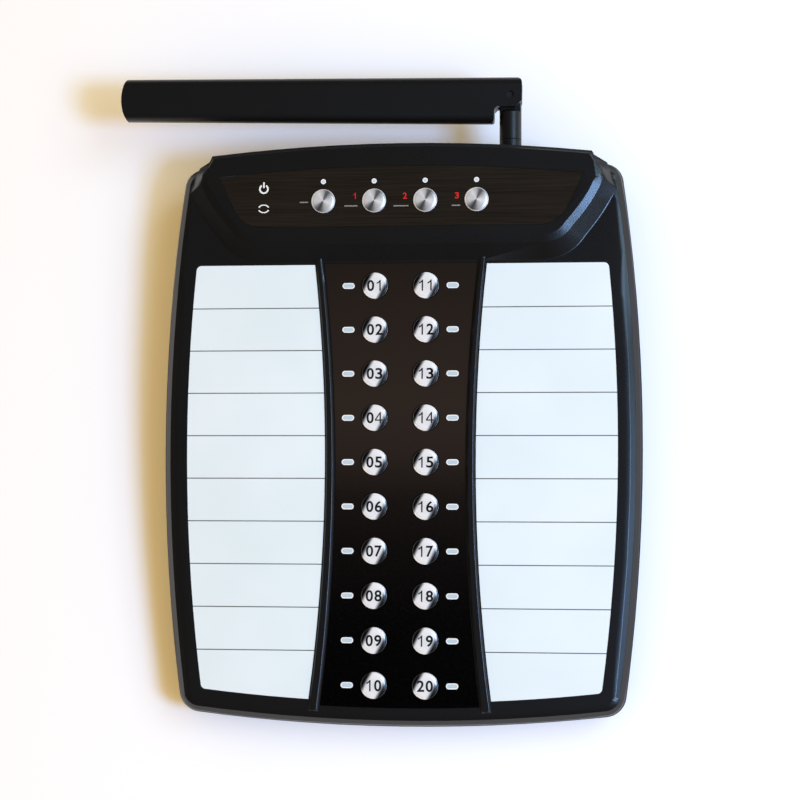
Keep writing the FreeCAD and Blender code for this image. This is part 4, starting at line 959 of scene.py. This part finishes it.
def drawn(digit):
    """A 1 with a flag or an open-shouldered 4, which the built-in face doesn't have."""
    bm = bmesh.new()
    points, faces = DRAWN[digit]
    verts = [bm.verts.new((x, y, 0)) for x, y in points]
    for face in faces:
        bm.faces.new([verts[index] for index in face])
    return bm


def figures(name, words, x, y, level, height, finish, body):
    """Lettering whose ink stands a hair above a level."""
    row = bmesh.new()
    for index, digit in enumerate(words):
        glyph = drawn(digit) if digit in DRAWN else typed(digit)
        step = (index - (len(words) - 1) / 2) * DIGIT_PITCH
        bmesh.ops.translate(glyph, verts=glyph.verts, vec=(step, -HALF_DIGIT, 0))
        loose = bpy.data.meshes.new("glyph")
        glyph.to_mesh(loose)
        glyph.free()
        row.from_mesh(loose)
        bpy.data.meshes.remove(loose)
    bmesh.ops.scale(row, verts=row.verts, vec=(height, height, 1))
    raise_print(row)
    bmesh.ops.translate(row, verts=row.verts, vec=(x, y, level))
    return place(row, name, [finish], body)


def raise_print(bm):
    """Gives a flat print its thickness, upwards."""
    top = bmesh.ops.extrude_face_region(bm, geom=bm.faces[:])["geom"]
    moved = [item for item in top if isinstance(item, bmesh.types.BMVert)]
    bmesh.ops.translate(bm, verts=moved, vec=(0, 0, INK_THICKNESS))
    bmesh.ops.recalc_face_normals(bm, faces=bm.faces)


FIGURE_HEIGHT = 4.77
for number, (x, y) in enumerate(call_places, 1):
    words = "%02d" % number
    key = "call_key_" + words
    figures("figure_" + words, words, x, y, call_top, FIGURE_HEIGHT, black_ink, key)
print("printed", len(call_places), "numbers")

# %% [markdown]
# ## Lamp windows
# Beside each key the film has a clear window in a white rim. A circle whose halves are drawn apart
# makes the pill, and an inset of its face makes the rim.

# %% Lamp windows
KEYPAD_TOP = -0.1
HEAD_TOP = 5.4
WINDOW_COLUMN = 22.5
WINDOW_LENGTH = 5.3
WINDOW_WIDTH = 2.55
WINDOW_RIM = 0.42
WINDOW_SINK = 0.005
DOT_ROW = 130.1
DOT_WIDTH = 2.2
DOT_RIM = 0.5
ROUND_STEPS = 24


def window(bm, x, y, level, length, width, rim):
    """A pill or disc with a rim, where the rim takes the first finish and the middle the second."""
    settled = len(bm.verts)
    made = bmesh.ops.create_circle(bm, cap_ends=True, radius=width / 2, segments=ROUND_STEPS)["verts"]
    apart = (length - width) / 2
    bmesh.ops.translate(bm, verts=[v for v in made if v.co.x > 1e-4], vec=(apart, 0, 0))
    bmesh.ops.translate(bm, verts=[v for v in made if v.co.x < -1e-4], vec=(-apart, 0, 0))
    face = made[0].link_faces[0]
    sides = bmesh.ops.extrude_face_region(bm, geom=[face])["geom"]
    raised = [item for item in sides if isinstance(item, bmesh.types.BMVert)]
    bmesh.ops.translate(bm, verts=raised, vec=(0, 0, INK_THICKNESS))
    top = next(item for item in sides if isinstance(item, bmesh.types.BMFace))
    bmesh.ops.inset_region(bm, faces=[top], thickness=rim, depth=-WINDOW_SINK)
    top.material_index = 1
    move_fresh(bm, settled, (x, y, level))


def move_fresh(bm, settled, step, squeeze=1.0):
    """Moves what was drawn after the first so many points, squeezed along y where that is asked."""
    fresh = list(bm.verts)[settled:]
    bmesh.ops.scale(bm, verts=fresh, vec=(1, squeeze, 1))
    bmesh.ops.translate(bm, verts=fresh, vec=step)


windows = bmesh.new()
for x, y in call_places:
    window(windows, math.copysign(WINDOW_COLUMN, x), y, KEYPAD_TOP, WINDOW_LENGTH, WINDOW_WIDTH, WINDOW_RIM)
bmesh.ops.recalc_face_normals(windows, faces=windows.faces)
place(windows, "lamp_windows", [white_ink, window_frost], "console")
dots = bmesh.new()
for x, y in function_places:
    window(dots, x, DOT_ROW, HEAD_TOP, DOT_WIDTH, DOT_WIDTH, DOT_RIM)
bmesh.ops.recalc_face_normals(dots, faces=dots.faces)
place(dots, "lamp_dots", [white_ink, window_frost], "console")
print("made", len(call_places), "windows and", len(function_places), "dots")

# %% [markdown]
# ## Signs on the head
# Left of the keys are a power sign and a sign for the radio link. Both are strips that are spun
# from one short edge, so they are true arcs. Beside three of the keys stand plain red figures with a
# short grey line below.

# %% Signs on the head
SIGN_COLUMN = -58.9
POWER_ROW = 127.2
LINK_ROW = 118.6
ARC_STEP = 8
RED_HEIGHT = 2.7
LINE_WIDTH = 0.45
HEAD_LINES = ((-41.4, 121.2, 3.6), (-21.0, 119.4, 5.6), (0.6, 119.2, 6.4), (24.2, 119.1, 3.6))
RED_FIGURES = (("1", -19.3, 123.7), ("2", 2.3, 123.5), ("3", 24.6, 123.4))


def arc(bm, x, y, radius, width, start, turn, squeeze=1.0):
    """A strip round (x, y), from a start angle through a turn, in degrees."""
    settled = len(bm.verts)
    turned_to_start = Matrix.Rotation(math.radians(start), 3, "Z")
    ends = [bm.verts.new(turned_to_start @ Vector((radius + side * width / 2, 0, 0))) for side in (-1, 1)]
    edge = bm.edges.new(ends)
    steps = int(turn / ARC_STEP)
    bmesh.ops.spin(
        bm, geom=[*ends, edge], cent=(0, 0, 0), axis=(0, 0, 1), angle=math.radians(turn), steps=steps,
        use_merge=False,
    )
    move_fresh(bm, settled, (x, y, 0), squeeze)


def bar(bm, x, y, width, length):
    """A flat bar about (x, y)."""
    made = bmesh.ops.create_grid(bm, x_segments=1, y_segments=1, size=0.5)["verts"]
    bmesh.ops.scale(bm, verts=made, vec=(width, length, 1))
    bmesh.ops.translate(bm, verts=made, vec=(x, y, 0))


def lay_sign(bm, name, finish):
    """Raises a flat sign and lays it on the head's film."""
    raise_print(bm)
    bmesh.ops.translate(bm, verts=bm.verts, vec=(0, 0, HEAD_TOP))
    place(bm, name, [finish], "console")


signs = bmesh.new()
arc(signs, SIGN_COLUMN, POWER_ROW, 1.75, 0.72, 122, 296)
bar(signs, SIGN_COLUMN, POWER_ROW + 1.7, 0.7, 2.5)
for start in (20, 200):
    arc(signs, SIGN_COLUMN, LINK_ROW, 2.2, 0.6, start, 140, 0.75)
lay_sign(signs, "head_signs", white_ink)
lines = bmesh.new()
for x, y, length in HEAD_LINES:
    bar(lines, x, y, length, LINE_WIDTH)
lay_sign(lines, "head_lines", grey_ink)
for words, x, y in RED_FIGURES:
    figures("red_" + words, words, x, y, HEAD_TOP, RED_HEIGHT, red_ink, "console")
print("printed the signs")

# %% [markdown]
# ## The antenna
# The blade, knuckle and bushing keep the model's shape. A merged copy can be shaded smooth, so its
# roundings lose their flats, and the sharp edges are broken a little, as on any moulding.

# %% The antenna
ANTENNA_PIECES = (
    ("antenna_blade", "antenna_blade", 0.35), ("antenna_knuckle", "antenna_knuckle", 0.15),
    ("antenna_bushing", "console", 0.15),
)
for node, body, width in ANTENNA_PIECES:
    moulding = merged(node)
    soften(moulding, [edge for edge in moulding.edges if corner(edge) > 40 and edge.is_convex], width, 2)
    smooth = place(moulding, node + "_soft", [antenna_plastic], body)
    weigh_normals(smooth)
    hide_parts(node)
    print(node, "has", len(smooth.data.polygons), "faces")

# %% [markdown]
# ## The floor
# The console lies on a plain pale floor. A diffuse surface keeps the shadow, and a little glow that
# the camera and mirrors see, but the object's matte sides don't, lifts it to white. Far from the
# console the lamps no longer reach it, so there it turns into an even white backdrop.

# %% The floor
FLOOR_LEVEL = cad_box[0][2]
FLOOR_REACH = 2.5
FLOOR_GLOW = 0.05
BACKDROP_START = 280.0
BACKDROP_END = 800.0
WHITE = (1, 1, 1, 1)


def grey(level):
    """An even grey, as light."""
    return (level, level, level, 1)


def sees(start, kind):
    """1 for one kind of ray, such as Is Camera Ray."""
    return start.node("ShaderNodeLightPath", output=kind)


def mirrored_ray(start):
    """1 for a ray that comes off metal or through a clear piece."""
    return start.math("MAXIMUM", sees(start, "Is Glossy Ray"), sees(start, "Is Transmission Ray"))


def floor_finish():
    """A pale matte floor that turns into an even white far away."""
    material, spot = new_finish("pale_floor")
    seen = spot.math("MAXIMUM", sees(spot, "Is Camera Ray"), mirrored_ray(spot))
    cloud = noise(spot, 0.004, 2.0)
    colour = seen.blend(grey(0.9), cloud.blend(grey(0.98), WHITE))
    diffuse = spot.node("ShaderNodeBsdfDiffuse", values={"Color": colour})
    glow = spot.node("ShaderNodeEmission", values={"Color": WHITE, "Strength": seen * FLOOR_GLOW})
    near = spot.node("ShaderNodeAddShader", values={0: diffuse, 1: glow})
    backdrop = spot.node("ShaderNodeEmission", values={"Color": WHITE, "Strength": 1.0})
    far = length_of(spot.part("X"), spot.part("Y")).fade(BACKDROP_START, BACKDROP_END)
    both = spot.node("ShaderNodeMixShader", values={0: far * seen, 1: near, 2: backdrop})
    spot.node("ShaderNodeOutputMaterial", values={"Surface": both})
    return material


ground = bmesh.new()
bmesh.ops.create_grid(ground, x_segments=1, y_segments=1, size=FLOOR_REACH)
bmesh.ops.translate(ground, verts=ground.verts, vec=(0, 0, FLOOR_LEVEL))
floor_mesh = bpy.data.meshes.new("floor")
ground.to_mesh(floor_mesh)
ground.free()
floor_mesh.materials.append(floor_finish())
floor = bpy.data.objects.new("floor", floor_mesh)
bpy.context.collection.objects.link(floor)
print("the floor is at", round(FLOOR_LEVEL, 4))

# %% [markdown]
# ## The lamps
# Daylight comes from the right: one large cool lamp draws the soft shadow to the left, and a small
# bluer one, at the same height, draws the narrow streaks on the right-hand edges.

# %% The lamps
LAMP_HEIGHT = 50
LAMP_DISTANCE = 2.0


def lamp(name, turn, width, length, power, colour):
    """A rectangular lamp at an azimuth from +x, in degrees, that looks at the console."""
    light = bpy.data.lights.new(name, "AREA")
    light.shape = "RECTANGLE"
    light.size = width
    light.size_y = length
    light.energy = power
    light.color = colour
    item = bpy.data.objects.new(name, light)
    turn, height = math.radians(turn), math.radians(LAMP_HEIGHT)
    item.location = LAMP_DISTANCE * Vector((
        math.cos(turn) * math.cos(height), math.sin(turn) * math.cos(height), math.sin(height),
    ))
    item.rotation_euler = (-item.location).to_track_quat("-Z", "Y").to_euler()
    bpy.context.collection.objects.link(item)
    print(name, "stands at", [round(step, 2) for step in item.location])


lamp("window_light", 6, 2.2, 1.0, 25.0, (0.52, 0.77, 0.95))
lamp("window_glint", -14, 0.45, 0.45, 28.0, (0.28, 0.5, 1.0))

# %% [markdown]
# ## The room
# The camera sees white all round. Mirrors see a dim room that is lighter towards the window, and
# matte surfaces get the warm light that such a room gives back, which fills the shadow.

# %% The room
ROOM_DARK = grey(0.1)
ROOM_CEILING = grey(0.08)
ROOM_WINDOW_SIDE = (0.8, 0.8, 0.84, 1)
ROOM_FILL = (0.68, 0.45, 0.15, 1)
world = bpy.data.worlds.new("room")
world.use_nodes = True
world.node_tree.nodes.clear()
air = Socket(world.node_tree)
toward = air.node("ShaderNodeTexCoord", output="Generated")
horizon = toward.part("X").fade(0.0, 0.9).blend(ROOM_DARK, ROOM_WINDOW_SIDE)
room = toward.part("Z").fade(0.05, 0.4).blend(horizon, ROOM_CEILING)
tint = sees(air, "Is Camera Ray").blend(mirrored_ray(air).blend(ROOM_FILL, room), WHITE)
sky = air.node("ShaderNodeBackground", values={"Color": tint, "Strength": 1.0})
air.node("ShaderNodeOutputWorld", values={"Surface": sky})
bpy.context.scene.world = world
bpy.context.scene.view_settings.view_transform = "Standard"
print("the room has", len(world.node_tree.nodes), "nodes")
